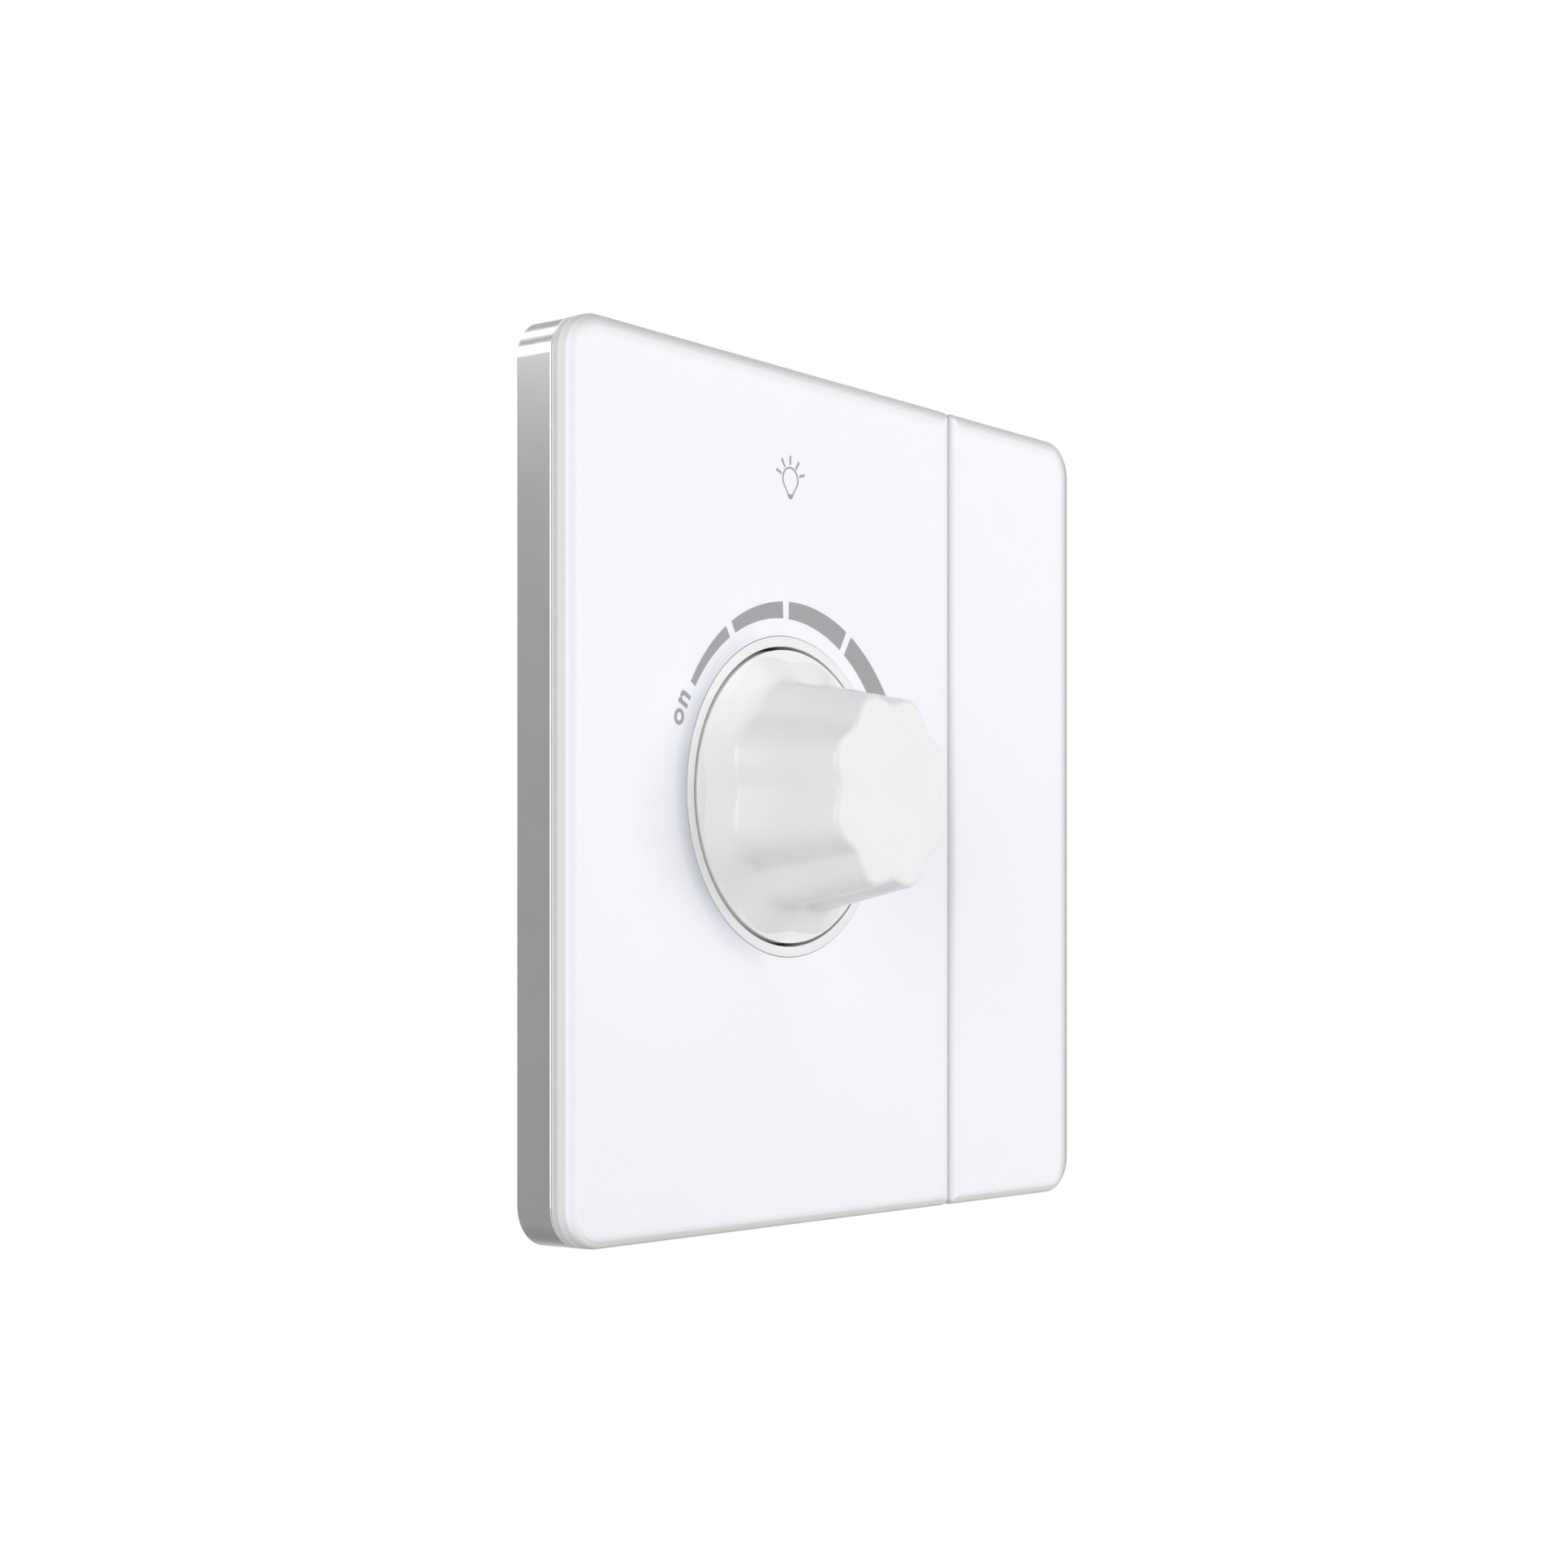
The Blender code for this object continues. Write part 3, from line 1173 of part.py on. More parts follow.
def main():
    clear_scene()
    make_trim_frame()
    make_panels()
    make_carrier()
    make_dial_ring()
    make_knob()
    make_shaft()
    make_knob_clip()
    make_yoke()
    make_pot()
    make_switch_case()
    make_housing()
    make_housing_screws()
    make_board()
    make_terminals()
    make_power_switch()
    make_choke()
    make_small_components()
    make_fuse()


main()
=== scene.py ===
"""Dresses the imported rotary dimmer: panels, knob, printed marks, materials, light and camera."""

import json
import math

import bmesh
import bpy
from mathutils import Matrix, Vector
from mathutils.geometry import tessellate_polygon


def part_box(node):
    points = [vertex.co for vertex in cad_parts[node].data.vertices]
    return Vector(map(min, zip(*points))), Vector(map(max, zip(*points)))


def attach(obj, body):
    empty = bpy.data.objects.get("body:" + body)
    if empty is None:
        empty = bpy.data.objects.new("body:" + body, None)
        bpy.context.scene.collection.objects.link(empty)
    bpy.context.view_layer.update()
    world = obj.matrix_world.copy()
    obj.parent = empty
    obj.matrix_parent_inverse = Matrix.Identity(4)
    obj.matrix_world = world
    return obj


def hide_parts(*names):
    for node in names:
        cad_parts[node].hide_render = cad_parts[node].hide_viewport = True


MM = 0.001
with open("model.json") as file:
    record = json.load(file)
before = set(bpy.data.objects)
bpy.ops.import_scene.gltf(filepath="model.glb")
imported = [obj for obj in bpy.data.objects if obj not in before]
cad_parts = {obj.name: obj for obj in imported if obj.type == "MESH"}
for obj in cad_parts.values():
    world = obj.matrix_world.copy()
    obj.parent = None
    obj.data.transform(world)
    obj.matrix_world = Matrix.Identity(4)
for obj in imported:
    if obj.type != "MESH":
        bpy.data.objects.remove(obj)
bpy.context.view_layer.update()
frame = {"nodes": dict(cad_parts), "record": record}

# Clear panels
PLATE_CORNER_R = 4.0 * MM
SPLIT_CORNER_R = 0.8 * MM
LEAST_CORNER_R = 0.03 * MM
PANEL_EDGE_R = 0.9 * MM
PANEL_BACK_CHAMFER = 0.08 * MM
PANEL_BACK_GAP = 0.03 * MM
HOLE_EDGE_R = 0.05 * MM
HOLE_FIT = 0.05 * MM

# White print behind the clear panels; painted shade on their rims where it stops, standing in for the
# silver lip and the shade seen through a clear edge; and painted shade beside the dial ring
PRINT_WHITE = (0.90, 0.90, 0.955)
PRINT_MARGIN = 0.4 * MM
PRINT_FADE = 1.2 * MM
# warm tint of the painted shade on the rims
RIM_SHADE_TINT = (1.0, 0.985, 0.99)
RIM_WALL_PAINTED_SHADE = (      # painted shade up the rim wall, with the silver lip painted in, by distance from the panel's back
    (0.00 * MM, 0.72),
    (0.15 * MM, 0.64),
    (0.28 * MM, 0.53),
    (0.45 * MM, 0.58),
    (0.66 * MM, 0.54),
    (0.74 * MM, 0.68),
    (0.86 * MM, 0.70),
)
RIM_EDGE_PAINTED_SHADE = {      # painted shade over the rounded edge, by side, from the wall (0) to the flat front (1)
    "left": ((0.0, 0.70), (0.05, 0.74), (0.12, 0.86), (0.25, 0.9), (1.0, 0.9)),
    "top": ((0.0, 0.48), (0.2, 0.48), (0.32, 0.64), (0.5, 0.56), (1.0, 0.68)),
    "right": ((0.0, 0.36), (0.65, 0.35), (1.0, 0.42)),
    "bottom": ((0.0, 0.52), (0.2, 0.56), (0.58, 0.76), (0.8, 0.69), (1.0, 0.79)),
    "split_left": ((0.0, 0.80), (0.5, 0.9), (1.0, 0.9)),
    "split_right": ((0.0, 0.80), (1.0, 0.83)),
}
RIM_MARGIN_PAINTED_SHADE = {    # painted shade just inside the rounded edge, by side
    "left": 0.9,
    "top": 0.80,
    "right": 0.65,
    "bottom": 0.9,
    "split_left": 0.9,
    "split_right": 0.86,
}
# painted shade of the wall where two panels meet
SPLIT_WALL_PAINTED_SHADE = 0.9
PRINT_FROM = 0.75       # painted rim greys above this turn to the colour of the print
SHADE_TONE = (0.57, 0.59, 0.66)
SHADE_DEG = 183.0       # side of the dial hole on which the shade is deepest
SHADE_REACH = 0.25      # cosine at which the shade beside the dial ring runs out
SHADE_FALL = 0.7        # power by which it thins on the way there
SHADE_AT_HOLE = 1.0
SHADE_STEPS = (         # strength by distance from the hole's edge
    (0.75 * MM, 0.68),
    (1.05 * MM, 0.55),
    (1.50 * MM, 0.33),
    (1.80 * MM, 0.17),
    (2.60 * MM, 0.07),
    (3.60 * MM, 0.00),
)

# Silver frame
FRAME_WALL = 2.0 * MM
FRAME_LIP = 0.8 * MM
FRAME_REBATE = 1.2 * MM
FRAME_EDGE_R = 0.1 * MM

# Dial ring and knob
RING_FACE = 1.02 * MM
RING_PROUD = 0.05 * MM
RING_EDGE_R = 0.05 * MM
KNOB_LOBES = 8
KNOB_RUN = 0.06 * MM            # how far the skirt stays inside the CAD's
KNOB_SKIRT_PROUD = 0.2 * MM
KNOB_RIM_EDGE_R = 0.08 * MM
KNOB_CREASE_R = 13.9 * MM
KNOB_CREASE_WAVE = 0.48 * MM
KNOB_RIM_SLOPE = 0.1
KNOB_FLARE_HEIGHT = 2.36 * MM
KNOB_BASE_R = 11.4 * MM
KNOB_FLARE_OUT = (0.9 * MM, 0.72 * MM)
KNOB_FLARE_UP = (0.36 * MM, 0.62 * MM)
KNOB_NECK = 0.3 * MM
KNOB_END_R = 9.3 * MM
KNOB_LOBE_WAVE = 0.55 * MM
KNOB_LOBE_CURVE = 0.85          # below 1, the lobes are broader than the flutes
KNOB_END_EDGE_R = 0.8 * MM
KNOB_WALL = 1.5 * MM
KNOB_CROWN = 2.0 * MM
KNOB_HUB_R = 5.0 * MM
KNOB_BORE_R = 3.3 * MM
KNOB_BORE_STEP = 0.3 * MM
KNOB_HUB_REAR = -5.5 * MM

# Printed marks on the main panel
INK_THICK = 0.02 * MM
INK_GAP = 0.004 * MM
SCALE_INNER_R = 17.58 * MM
SCALE_START_DEG = 146.5
SCALE_SEGMENTS = ((SCALE_START_DEG, 122.0), (118.8, 92.6), (89.6, 60.2), (57.4, 26.0))
SCALE_START_WIDTH = 0.78 * MM
SCALE_GROWTH = 0.0169 * MM      # added width for each degree along the scale
SCALE_CENTRE = (-10.73 * MM, 0.1 * MM)
LETTER_R = 17.78 * MM
LETTER_O_DEG = 158.3
LETTER_N_DEG = 152.3
LETTER_HEIGHT = 1.45 * MM
LETTER_O_WIDTH = 1.62 * MM
LETTER_N_WIDTH = 1.4 * MM
LETTER_STROKE = 0.44 * MM
LETTER_O_STROKE = 0.3784 * MM
LETTER_N_RISE = 0.651           # height of the n's outer arch, in half widths
LETTER_N_DROP = 0.12 * MM       # how much lower its inner arch starts
LETTER_N_INNER = 0.9            # height of the inner arch, in half widths of its own
LETTER_N_SWEEP = 0.78           # part of a half turn that the outer arch makes
LETTER_N_NOTCH = 0.55           # height at which it meets the stem, as a part of its rise
LAMP_X = -10.34 * MM
LAMP_TOP = 32.96 * MM
LAMP_SIDE_Z = 31.68 * MM
LAMP_NECK_Z = 30.25 * MM
LAMP_TIP_Z = 29.70 * MM
LAMP_HALF = 1.33 * MM
LAMP_NECK_HALF = 0.55 * MM
LAMP_STROKE = 0.2 * MM
LAMP_FILL_Z = 30.2 * MM
LAMP_FILL_INSET = 0.18 * MM
LAMP_SIDE_PULL = 0.62 * MM      # the pulls are how far the outline's curve handles reach
LAMP_NECK_PULL = (0.22 * MM, 0.48 * MM)
LAMP_TIP_PULL = 0.2 * MM
LAMP_TIP_TAPER = (0.7, 0.5)
CIRCLE_PULL = 0.552             # handle of a quarter circle of radius 1
RAY_WIDTH = 0.26 * MM
RAYS = (                        # outer and inner end of each, in millimetres
    ((-12.66, 32.42), (-11.80, 32.14)),
    ((-11.77, 33.60), (-11.25, 32.84)),
    ((-10.35, 34.05), (-10.35, 33.14)),
    ((-8.92, 33.60), (-9.43, 32.82)),
    ((-8.00, 32.42), (-8.86, 32.16)),
)

# Fineness
CORNER_STEPS = 24
EDGE_STEPS = 14
SMALL_EDGE_STEPS = 4
FLARE_STEPS = 20
KNOB_STEPS = 256
DIAL_STEPS = 192
SCALE_STEPS = 24
LETTER_O_STEPS = 48
LETTER_N_STEPS = 14
LAMP_STEPS = 16
LAMP_TIP_STEPS = 10
SHARP_ANGLE = math.radians(20)
NORMAL_WEIGHT = 100

# Finishes
WHITE = (1.0, 1.0, 1.0, 1.0)
NOISE_SPAN = (0.3, 0.7)         # the values of a noise that are spread over a finish
BROAD_DETAIL = 2.0
MOULD_DETAIL = 4.0
MOULD_BROAD = 90.0              # blotches, in waves per metre
MOULD_BUMP = 0.35
MOULD_SPREAD = 0.05
METAL_DETAIL = 5.0
METAL_BROAD = 60.0
METAL_BLOTCH = 0.03
METAL_BUMP = 0.25
METAL_DEPTH = 0.004 * MM
METAL_SPREAD = 0.06
CLEAR_IOR = 1.49
CLEAR_GRAIN = 400.0
GLASS_ROUGH = 0.03
PRINT_GRAIN = 500.0
PRINT_DETAIL = 3.0
PRINT_SPREAD = 0.03
PRINT_DEPTH = 0.002 * MM
PRINT_BUMP = 0.1
COAT_ROUGH = 0.03
EVEN = (1, 1, 1)
BRUSHED = (1, 1, 30)
DRAWN = (1, 12, 1)
PRINTS = {      # name, roughness, specular level, clear coat
    "panel": ("backed_acrylic", 0.31, 0.5, 1.0),
    "rim": ("acrylic_rim", 0.4, 0.15, 0.0),
}
PLASTICS = {    # name, colour, roughness, grain in waves per metre, its depth, blotch, gloss spread
    "ink": ("grey_ink", (0.35, 0.342, 0.35), 0.55, 9000.0, 0.002 * MM, 0.02, MOULD_SPREAD),
    "white": ("white_plastic", (0.88, 0.867, 0.872), 0.19, 5000.0, 0.0006 * MM, 0.006, 0.006),
    "ring": ("ring_plastic", (0.85, 0.842, 0.845), 0.25, 6000.0, 0.0006 * MM, 0.006, 0.006),
    "housing": ("housing_plastic", (0.78, 0.78, 0.77), 0.5, 2600.0, 0.02 * MM, 0.02, MOULD_SPREAD),
    "black": ("black_plastic", (0.03, 0.03, 0.032), 0.45, 2600.0, 0.01 * MM, 0.1, MOULD_SPREAD),
    "board": ("board_green", (0.05, 0.22, 0.10), 0.4, 1800.0, 0.01 * MM, 0.12, MOULD_SPREAD),
    "phenolic": ("phenolic_brown", (0.30, 0.16, 0.07), 0.55, 1500.0, 0.01 * MM, 0.12, MOULD_SPREAD),
    "ferrite": ("ferrite_grey", (0.10, 0.10, 0.11), 0.6, 3000.0, 0.02 * MM, 0.08, MOULD_SPREAD),
    "yellow": ("capacitor_yellow", (0.80, 0.58, 0.10), 0.35, 2600.0, 0.01 * MM, 0.04, MOULD_SPREAD),
    "beige": ("resistor_beige", (0.70, 0.56, 0.38), 0.5, 2600.0, 0.01 * MM, 0.05, MOULD_SPREAD),
}
METALS = {      # name, colour, roughness, grain in waves per metre, its stretch and depth, gloss spread
    "silver": ("silver_plate", (0.31, 0.303, 0.31), 0.25, 900.0, BRUSHED, 0.0003 * MM, 0.015),
    # the frame's front edge and lip: smoother finish, and a brighter colour that is a painted highlight
    "polished_painted_highlight": ("polished_edge_painted_highlight", (0.64, 0.635, 0.64), 0.12, 900.0, BRUSHED, 0.0003 * MM, 0.02),
    "steel": ("zinc_steel", (0.58, 0.58, 0.57), 0.34, 2500.0, EVEN, METAL_DEPTH, METAL_SPREAD),
    "brass": ("terminal_brass", (0.72, 0.55, 0.26), 0.32, 2500.0, EVEN, METAL_DEPTH, METAL_SPREAD),
    "copper": ("enamelled_copper", (0.62, 0.27, 0.12), 0.28, 2500.0, EVEN, METAL_DEPTH, METAL_SPREAD),
    "aluminium": ("mill_aluminium", (0.72, 0.73, 0.74), 0.38, 1500.0, DRAWN, METAL_DEPTH, METAL_SPREAD),
}
SLOT_FINISH = {     # finish of the CAD nodes that stay in view, by the slot in the record
    "clear_panel": "glass",
    "white_plastic": "white",
    "silver_frame": "silver",
    "housing_plastic": "housing",
    "steel": "steel",
    "brass": "brass",
    "copper": "copper",
    "aluminium": "aluminium",
    "black_plastic": "black",
    "board": "board",
    "phenolic": "phenolic",
    "ferrite": "ferrite",
    "capacitor_plastic": "yellow",
    "resistor_coat": "beige",
    "fuse_glass": "glass",
}

# Camera fitted to the photograph, in its own square frame
PHOTO_SIZE = 1932
FOCAL_PIXELS = 3362.75
HORIZON_ROW = 1180.37
CAMERA_AT = (-227.715 * MM, -172.213 * MM, -16.203 * MM)
CAMERA_YAW = 0.918
CAMERA_CLIP = 10.0 * MM
SENSOR = 36.0

# Stage
FLOOR_Z = -200.0 * MM
FLOOR_SIZE = 12.0
FLOOR_COLOUR = (0.76, 0.76, 0.76, 1.0)
FLOOR_ROUGH = 0.9
FLOOR_FADE = (0.06, 0.24)       # from the middle, where it starts to turn white and where it is white
AMBIENT_COLOUR = (0.985, 0.99, 1.0, 1.0)
AMBIENT_FACING = (0.0, -0.995, 0.1)
AMBIENT_FOCUS = 24.0
AMBIENT_FRONT = 4.92
AMBIENT_BACK = 0.05
LAMPS = (       # name, place, side, energy, and whether metal mirrors it
    ("key", (0.05, -0.25, 0.27), 0.25, 0.19, True),
    ("left", (-0.63, -0.195, 0.12), 0.45, 1.96, True),
    ("right", (0.35, -0.50, 0.12), 0.3, 1.47, False),
    ("edge", (-0.29, 0.25, 0.20), 0.10, 0.37, True),
    ("corner", (-0.077, 0.232, 0.305), 0.11, 0.14, True),
    ("rim", (-0.30, 0.19, 0.0), 0.2, 0.35, False),
    ("back", (0.42, 0.34, 0.16), 0.3, 0.75, True),
)


def new_tree(name):
    material = bpy.data.materials.new(name)
    material.use_nodes = True
    tree = material.node_tree
    return material, tree, tree.nodes["Principled BSDF"]


def node(tree, kind, **values):
    made = tree.nodes.new(kind)
    for key, value in values.items():
        if key in made.inputs:
            made.inputs[key].default_value = value
        else:
            setattr(made, key, value)
    return made


def noise(tree, scale, detail, stretch=EVEN):
    """Noise in object space; scale is in waves per metre."""
    place = node(tree, "ShaderNodeTexCoord")
    mapping = node(tree, "ShaderNodeMapping")
    mapping.inputs["Scale"].default_value = stretch
    texture = node(tree, "ShaderNodeTexNoise")
    texture.inputs["Scale"].default_value = scale
    texture.inputs["Detail"].default_value = detail
    tree.links.new(place.outputs["Object"], mapping.inputs["Vector"])
    tree.links.new(mapping.outputs["Vector"], texture.inputs["Vector"])
    return texture


def vary(tree, texture, socket, low, high):
    """Drive a value socket between two limits by a texture."""
    spread = node(tree, "ShaderNodeMapRange")
    spread.inputs["From Min"].default_value = NOISE_SPAN[0]
    spread.inputs["From Max"].default_value = NOISE_SPAN[1]
    spread.inputs["To Min"].default_value = low
    spread.inputs["To Max"].default_value = high
    tree.links.new(texture.outputs["Fac"], spread.inputs["Value"])
    tree.links.new(spread.outputs["Result"], socket)


def tint(tree, texture, socket, low, high):
    """Drive a colour socket between two close colours by a texture."""
    ramp = node(tree, "ShaderNodeValToRGB")
    for element, position, colour in zip(ramp.color_ramp.elements, NOISE_SPAN, (low, high)):
        element.position = position
        element.color = (*colour, 1.0)
    tree.links.new(texture.outputs["Fac"], ramp.inputs["Fac"])
    tree.links.new(ramp.outputs["Color"], socket)


def roughen(tree, shader, texture, depth, strength):
    bump = node(tree, "ShaderNodeBump")
    bump.inputs["Distance"].default_value = depth
    bump.inputs["Strength"].default_value = strength
    tree.links.new(texture.outputs["Fac"], bump.inputs["Height"])
    tree.links.new(bump.outputs["Normal"], shader.inputs["Normal"])


def shift(colour, amount):
    return tuple(max(0.0, min(1.0, value * (1 + amount))) for value in colour)


def moulded(name, colour, rough, grain, depth, blotch, spread):
    """Moulded plastic: fine grain in the surface and faint unevenness in colour and gloss."""
    material, tree, shader = new_tree(name)
    fine = noise(tree, grain, MOULD_DETAIL)
    broad = noise(tree, MOULD_BROAD, BROAD_DETAIL)
    tint(tree, broad, shader.inputs["Base Color"], shift(colour, -blotch), shift(colour, blotch))
    vary(tree, fine, shader.inputs["Roughness"], rough - spread, rough + spread)
    roughen(tree, shader, fine, depth, MOULD_BUMP)
    return material


def metal(name, colour, rough, grain, stretch, depth, spread):
    """Metal with fine lines or grain in its roughness and surface."""
    material, tree, shader = new_tree(name)
    lines = noise(tree, grain, METAL_DETAIL, stretch)
    broad = noise(tree, METAL_BROAD, BROAD_DETAIL)
    dark = shift(colour, -METAL_BLOTCH)
    light = shift(colour, METAL_BLOTCH)
    tint(tree, broad, shader.inputs["Base Color"], dark, light)
    vary(tree, lines, shader.inputs["Roughness"], rough - spread, rough + spread)
    roughen(tree, shader, lines, depth, METAL_BUMP)
    shader.inputs["Metallic"].default_value = 1.0
    return material


def clear(name, rough):
    """Clear glass with a faintly uneven polish."""
    material, tree, shader = new_tree(name)
    shader.inputs["Base Color"].default_value = WHITE
    shader.inputs["Transmission Weight"].default_value = 1.0
    shader.inputs["IOR"].default_value = CLEAR_IOR
    vary(tree, noise(tree, CLEAR_GRAIN, BROAD_DETAIL), shader.inputs["Roughness"], 0.0, rough)
    return material


def printed(name, rough, specular, coat):
    """White print under clear acrylic: its colour, with painted shade on the rims and beside the dial
    ring, is on the mesh, and the gloss is a clear coat.
    """
    material, tree, shader = new_tree(name)
    colour = node(tree, "ShaderNodeAttribute", attribute_name="print")
    tree.links.new(colour.outputs["Color"], shader.inputs["Base Color"])
    fine = noise(tree, PRINT_GRAIN, PRINT_DETAIL)
    vary(tree, fine, shader.inputs["Roughness"], rough - PRINT_SPREAD, rough + PRINT_SPREAD)
    roughen(tree, shader, fine, PRINT_DEPTH, PRINT_BUMP)
    shader.inputs["Specular IOR Level"].default_value = specular
    shader.inputs["Coat Weight"].default_value = coat
    shader.inputs["Coat IOR"].default_value = CLEAR_IOR
    shader.inputs["Coat Roughness"].default_value = COAT_ROUGH
    return material


def make_materials():
    looks = {key: printed(*values) for key, values in PRINTS.items()}
    for key, values in PLASTICS.items():
        looks[key] = moulded(*values)
    for key, values in METALS.items():
        looks[key] = metal(*values)
    looks["glass"] = clear("fuse_glass", GLASS_ROUGH)
    return looks


def link(name, bm, materials, body, replaced=()):
    """Make a mesh piece that rides on a body and, where they are named, stands for CAD nodes."""
    bmesh.ops.recalc_face_normals(bm, faces=bm.faces)
    mesh = bpy.data.meshes.new(name)
    bm.to_mesh(mesh)
    bm.free()
    for material in materials:
        mesh.materials.append(material)
    mesh.shade_smooth()
    mesh.set_sharp_from_angle(angle=SHARP_ANGLE)
    piece = bpy.data.objects.new(name, mesh)
    bpy.context.scene.collection.objects.link(piece)
    weighted = piece.modifiers.new("weighted", "WEIGHTED_NORMAL")
    weighted.weight = NORMAL_WEIGHT
    weighted.keep_sharp = True
    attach(piece, body)
    if replaced:
        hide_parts(*replaced)


def skin(bm, loops, closed=False, capped=False):
    """Quads between loops of equal count, last to first or capped where asked. Returns the vertex rows."""
    rows = [[bm.verts.new(point) for point in loop] for loop in loops]
    pairs = list(zip(rows, rows[1:]))
    if closed:
        pairs.append((rows[-1], rows[0]))
    for near, far in pairs:
        for i in range(len(near)):
            j = (i + 1) % len(near)
            bm.faces.new((near[i], near[j], far[j], far[i]))
    if capped:
        bm.faces.new(rows[0])
        bm.faces.new(rows[-1])
    return rows


def fill(bm, rings):
    """Flat face between an outer ring of vertices and rings of holes in it."""
    flat = [v for ring in rings for v in ring]
    loops = [[Vector((v.co.x, v.co.z, 0)) for v in ring] for ring in rings]
    for corner in tessellate_polygon(loops):
        bm.faces.new([flat[i] for i in corner])


def rounded_rect(x0, x1, z0, z1, radii, y):
    """Loop of points from the upper right corner round to the left."""
    centres = (
        (x1 - radii[0], z1 - radii[0]),
        (x0 + radii[1], z1 - radii[1]),
        (x0 + radii[2], z0 + radii[2]),
        (x1 - radii[3], z0 + radii[3]),
    )
    points = []
    for quarter, ((x, z), radius) in enumerate(zip(centres, radii)):
        for step in range(CORNER_STEPS + 1):
            angle = math.pi / 2 * (quarter + step / CORNER_STEPS)
            points.append(Vector((x + radius * math.cos(angle), y, z + radius * math.sin(angle))))
    return points


def inset_loop(rect, radii, inset, y):
    x0, x1, z0, z1 = rect
    corner = [max(radius - inset, LEAST_CORNER_R) for radius in radii]
    return rounded_rect(x0 + inset, x1 - inset, z0 + inset, z1 - inset, corner, y)


def ring_loop(radius, y, count, middle):
    turn = 2 * math.pi / count
    x, z = middle
    points = []
    for i in range(count):
        points.append(Vector((x + radius * math.cos(i * turn), y, z + radius * math.sin(i * turn))))
    return points


def quarter_round(radius, front, steps=EDGE_STEPS):
    """(inset, y) steps of a rounded front edge, ending on the front plane."""
    angles = [i / steps * math.pi / 2 for i in range(steps + 1)]
    return [(radius * (1 - math.cos(a)), front + radius * (1 - math.sin(a))) for a in angles]


def bezier(p0, p1, p2, p3, steps):
    """Points along a curve from p0 up to, but not with, p3."""
    points = []
    for i in range(steps):
        t = i / steps
        s = 1 - t
        weights = (s ** 3, 3 * s * s * t, 3 * s * t * t, t ** 3)
        points.append(tuple(sum(w * p[k] for w, p in zip(weights, (p0, p1, p2, p3))) for k in (0, 1)))
    return points


def blend(near, far, part):
    return tuple(a + (b - a) * part for a, b in zip(near, far))


def tone_at(tones, place):
    """Grey between the two listed tones on either side of a place."""
    for (start, near), (end, far) in zip(tones, tones[1:]):
        if place <= end:
            return near + (far - near) * (place - start) / (end - start)
    return tones[-1][1]


# Painted shade on a rim, in its warm tint.
def painted_rim_shade(grey):
    return tuple(grey * part for part in RIM_SHADE_TINT)


def panel_profile(front, back):
    """(inset, y, place, where) rows up a panel's wall and over its rounding to the flat front."""
    foot = back - PANEL_BACK_CHAMFER
    rows = [(PANEL_BACK_CHAMFER, back, 0.0, "wall")]
    rows += [(0.0, foot - distance, distance, "wall") for distance, _ in RIM_WALL_PAINTED_SHADE]
    for step, (inset, y) in enumerate(quarter_round(PANEL_EDGE_R, front)):
        rows.append((inset, y, step / EDGE_STEPS, "edge"))
    rows.append((PANEL_EDGE_R + PRINT_MARGIN, front, 0.0, "margin"))
    rows.append((PANEL_EDGE_R + PRINT_FADE, front, 0.0, "flat"))
    return rows


def print_and_painted_rim_shade(place, where, outward, split):
    """Painted shade on the rims, different on each side: light on the left, darker on the top, bottom and
    right; white print on the flat front.
    """
    x, z = outward
    across = "right" if x > 0 else "left"
    along = "top" if z > 0 else "bottom"
    wall = tone_at(RIM_WALL_PAINTED_SHADE, place)
    if across == split:
        across = f"split_{across}"
        wall += (SPLIT_WALL_PAINTED_SHADE - wall) * x * x
    if where == "wall":
        grey = wall
    elif where == "edge":
        grey = x * x * tone_at(RIM_EDGE_PAINTED_SHADE[across], place) + z * z * tone_at(RIM_EDGE_PAINTED_SHADE[along], place)
    elif where == "margin":
        grey = x * x * RIM_MARGIN_PAINTED_SHADE[across] + z * z * RIM_MARGIN_PAINTED_SHADE[along]
    else:
        return PRINT_WHITE
    whiteness = max(0.0, grey - PRINT_FROM) / (PRINT_WHITE[0] - PRINT_FROM)
    return blend(painted_rim_shade(grey), PRINT_WHITE, whiteness)


def hole_rows(radius, front, back):
    """(radius, y, shade) rows of the dial hole, from the back to where the ring's shade runs out."""
    edge = quarter_round(HOLE_EDGE_R, front, SMALL_EDGE_STEPS)
    rows = [(radius, back, SHADE_AT_HOLE)]
    rows += [(radius + inset, y, SHADE_AT_HOLE) for inset, y in edge]
    rows += [(radius + HOLE_EDGE_R + distance, front, shade) for distance, shade in SHADE_STEPS]
    return rows


# Painted shade beside the dial ring, deepest on its left and none on its right.
def hole_colour(shade, angle):
    facing = (math.cos(angle - math.radians(SHADE_DEG)) - SHADE_REACH) / (1 - SHADE_REACH)
    return blend(PRINT_WHITE, SHADE_TONE, shade * max(0.0, facing) ** SHADE_FALL)


